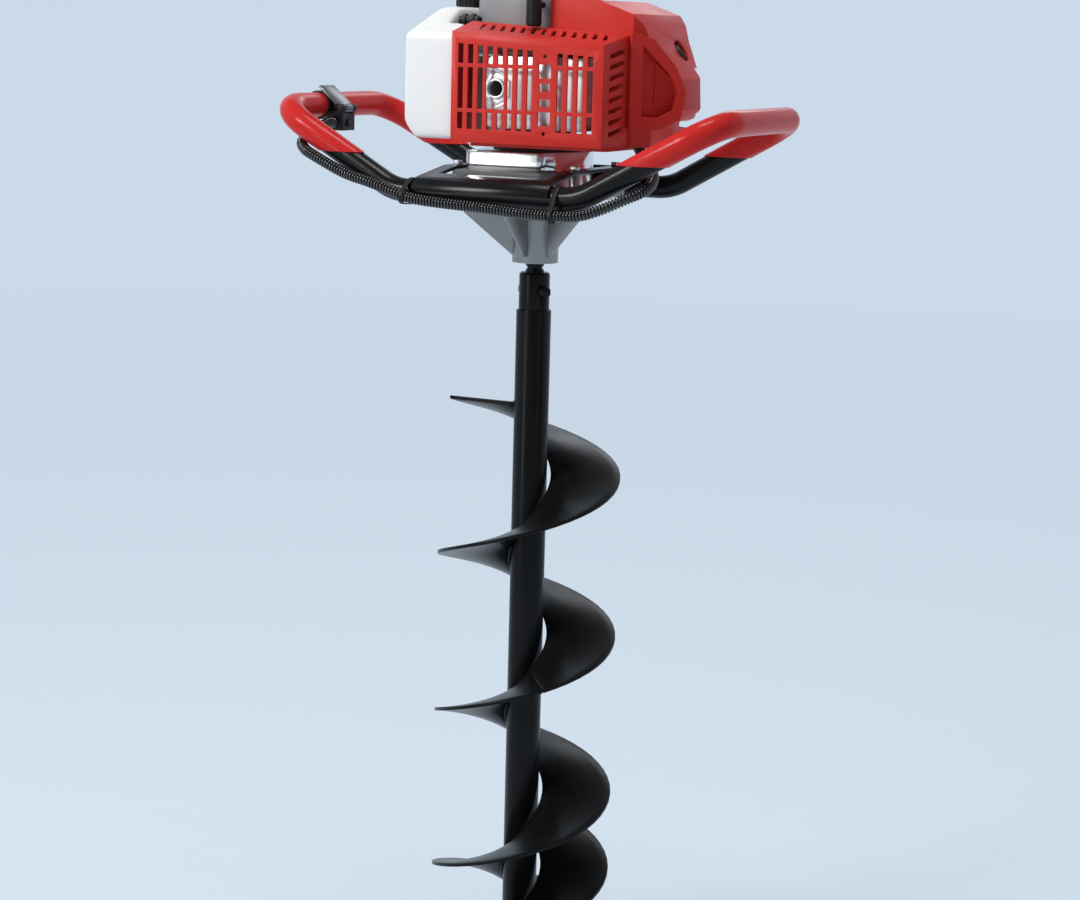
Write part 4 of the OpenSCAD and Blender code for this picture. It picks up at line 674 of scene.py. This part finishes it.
# %% raised rim round the recess
RIM = [(-0.004, 1.058), (-0.004, 0.962), (0.030, 0.961), (0.052, 0.972), (0.058, 0.999), (0.046, 1.024),
       (0.020, 1.052)]
RECESS = [(0.008, 1.047), (0.008, 0.973), (0.029, 0.972), (0.045, 0.980), (0.050, 0.999), (0.040, 1.019)]
fold, wall = Vector((*FOLDS[0], 0)), Vector((0.699, 0.715, 0)).normalized()
bpy.ops.curve.primitive_nurbs_path_add(location=(0, 0, 0))
rim = bpy.context.object
rim.name = "shroud_rim"
outline = rim.data
outline.splines.clear()
outline.dimensions, outline.fill_mode = "2D", "BOTH"
outline.extrude, outline.bevel_depth, outline.bevel_resolution = 0.0045, 0.0008, 2
for corners in (RIM, RECESS):
    spline = outline.splines.new("POLY")
    spline.points.add(len(corners) - 1)
    for point, (u, z) in zip(spline.points, corners):
        point.co = (u, z, 0, 1)
    spline.use_cyclic_u = True
out_of_wall = Vector((wall.y, -wall.x, 0))
rim.matrix_world = Matrix((wall, (0, 0, 1), out_of_wall)).transposed().to_4x4()
rim.location = fold + out_of_wall * 0.0018
only(rim)
bpy.ops.object.convert(target="MESH")
bpy.ops.object.transform_apply(location=True, rotation=True, scale=True)
finish_piece(rim, "engine_shroud", smooth=30)
print("shroud rim", len(rim.data.polygons), "faces")

# %% [markdown]
# ## Silencer front
# The silencer is pressed from two thin shells. Round its outlet the sheet is stamped into a six-sided
# pad with two creases, which keeps it flat when hot. A six-sided disc with a rounded rim, and two bars,
# are set on the front shell.

# %% silencer pad
def pick(obj, test):
    for part in (obj.data.vertices, obj.data.edges):
        part.foreach_set("select", [False] * len(part))
    for face in obj.data.polygons:
        face.select = bool(test(face))


def pad_piece(name, body, slot, rim):
    obj = bpy.context.view_layer.objects.active
    only(obj)
    obj.name = name
    bpy.ops.object.transform_apply(location=True, rotation=True, scale=True)
    round_edges(obj, rim, 2, 30)
    only(obj)
    bpy.ops.object.shade_smooth_by_angle(angle=math.radians(35))
    obj.data.materials.clear()
    obj.data.materials.append(looks[slot])
    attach(obj, body)
    return obj


OUTLET = (0.0, -0.1046, 0.998)
bpy.ops.mesh.primitive_cylinder_add(vertices=6, radius=0.0165, depth=0.0016, location=OUTLET,
                                    rotation=(math.pi / 2, 0, 0))
pad = bpy.context.object
bpy.ops.object.transform_apply(location=True, rotation=True, scale=True)
bpy.ops.mesh.primitive_cylinder_add(vertices=48, radius=0.0103, depth=0.01, location=OUTLET,
                                    rotation=(math.pi / 2, 0, 0))
cut_by(pad, bpy.context.object)
pad_piece("silencer_pad", "frame", "silencer_steel", 0.0005)
for k, (dx, dz, lean) in enumerate(((-0.001, 0.0185, 24), (0.001, -0.0185, -24))):
    bpy.ops.mesh.primitive_cube_add(size=1, location=(dx, -0.1044, OUTLET[2] + dz),
                                    rotation=(0, math.radians(lean), 0))
    bpy.context.object.scale = (0.020, 0.0012, 0.0026)
    pad_piece("silencer_crease_%d" % k, "frame", "silencer_steel", 0.0005)
print("silencer pad set")

# %% [markdown]
# ## Air filter cover
# The filter sits behind a black moulded cover that one knurled nut holds on. Flat bars across the
# cover keep it from drumming. The bars are blocks with rounded edges and the nut is a short cylinder
# with its side faces drawn in at every second place.

# %% filter cover dress
for k, z in enumerate((0.974, 0.983, 1.021, 1.030)):
    block("filter_bar_%d" % k, (0.046, 0.1215, z - 0.0014), (0.108, 0.1232, z + 0.0014))
    pad_piece("filter_bar_%d" % k, "frame", "black_plastic", 0.0005)
bpy.ops.mesh.primitive_cylinder_add(vertices=36, radius=0.010, depth=0.012, location=(0.077, 0.127, 1.002),
                                    rotation=(math.pi / 2, 0, 0))
nut = bpy.context.object
bpy.ops.object.transform_apply(location=True, rotation=True, scale=True)
pick(nut, lambda f: abs(f.normal.y) < 0.5 and f.index % 2 == 0)
only(nut)
bpy.ops.object.mode_set(mode="EDIT")
bpy.ops.mesh.select_mode(type="FACE")
bpy.ops.mesh.inset(thickness=0.0002, depth=-0.0008, use_individual=True)
bpy.ops.object.mode_set(mode="OBJECT")
pad_piece("filter_nut", "frame", "black_plastic", 0.0003)
print("filter cover dressed")

# %% [markdown]
# ## Fuel tank
# The tank is blown from white polyethylene: a fat block with a shoulder cut away for the starter, a
# sloping front and very round edges. It is made from a block, with the shoulder taken out by a
# difference and the slopes cut by bisecting planes. An even skin of small squares, smoothed many
# times, then rounds every edge the way the blown wall does.

# %% tank
tank = block("fuel_tank_look", (-0.113, -0.098, 0.944), (-0.052, 0.058, 1.080))
cut_by(tank, block("shoulder", (-0.072, -0.074, 1.028), (0.0, 0.2, 1.2)))
slice_off(tank, (-0.113, 0, 1.050), (-0.030, 0, 0.015))
slice_off(tank, (-0.113, 0, 0.960), (-0.016, 0, -0.013))
slice_off(tank, (0, -0.098, 1.052), (0, -0.030, 0.058))
slice_off(tank, (0, 0.058, 1.060), (0, 0.022, 0.018))
only(tank)
mod = tank.modifiers.new("skin", "REMESH")
mod.mode, mod.voxel_size = "VOXEL", 0.002
bpy.ops.object.modifier_apply(modifier="skin")
mod = tank.modifiers.new("blown", "SMOOTH")
mod.factor, mod.iterations = 0.5, 60
bpy.ops.object.modifier_apply(modifier="blown")
bpy.ops.object.mode_set(mode="EDIT")
bpy.ops.mesh.select_all(action="SELECT")
bpy.ops.transform.shrink_fatten(value=0.0004)
bpy.ops.object.mode_set(mode="OBJECT")
bpy.ops.mesh.primitive_cylinder_add(vertices=48, radius=0.013, depth=0.016, location=(-0.090, 0.018, 1.082))
join_into(tank, [bpy.context.object])
finish_piece(tank, "fuel_tank", smooth=50)
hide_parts("fuel_tank")
print("tank", len(tank.data.polygons), "faces")

# %% [markdown]
# ## Starter rope
# The rope leaves the reel, passes the eyelet in the housing and ends in the T-grip. When the grip is
# pulled, the rope has to stretch out behind it. Here the piece is a straight cylinder, cut into many
# rings along its length.

# %% rope
ROPE_R, ROPE_LENGTH, ROPE_INNER, ROPE_RINGS = 0.00175, 0.066, -0.002, 40
bpy.ops.mesh.primitive_cylinder_add(vertices=20, radius=ROPE_R, depth=ROPE_LENGTH, location=(0.028, -0.035, 1.084),
                                    rotation=(math.pi / 2, 0, 0))
rope = bpy.context.object
rope.name = "starter_rope_look"
bpy.ops.object.transform_apply(location=True, rotation=True, scale=True)
for k in range(1, ROPE_RINGS):
    only(rope)
    bpy.ops.object.mode_set(mode="EDIT")
    bpy.ops.mesh.select_all(action="SELECT")
    bpy.ops.mesh.bisect(plane_co=(0, ROPE_INNER - ROPE_LENGTH * k / ROPE_RINGS, 0), plane_no=(0, 1, 0))
    bpy.ops.object.mode_set(mode="OBJECT")
only(rope)
bpy.ops.object.shade_smooth_by_angle(angle=math.radians(40))
rope.data.materials.append(looks["rope"])
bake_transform(rope)
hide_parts("starter_rope")
print("rope", len(rope.data.polygons), "faces")
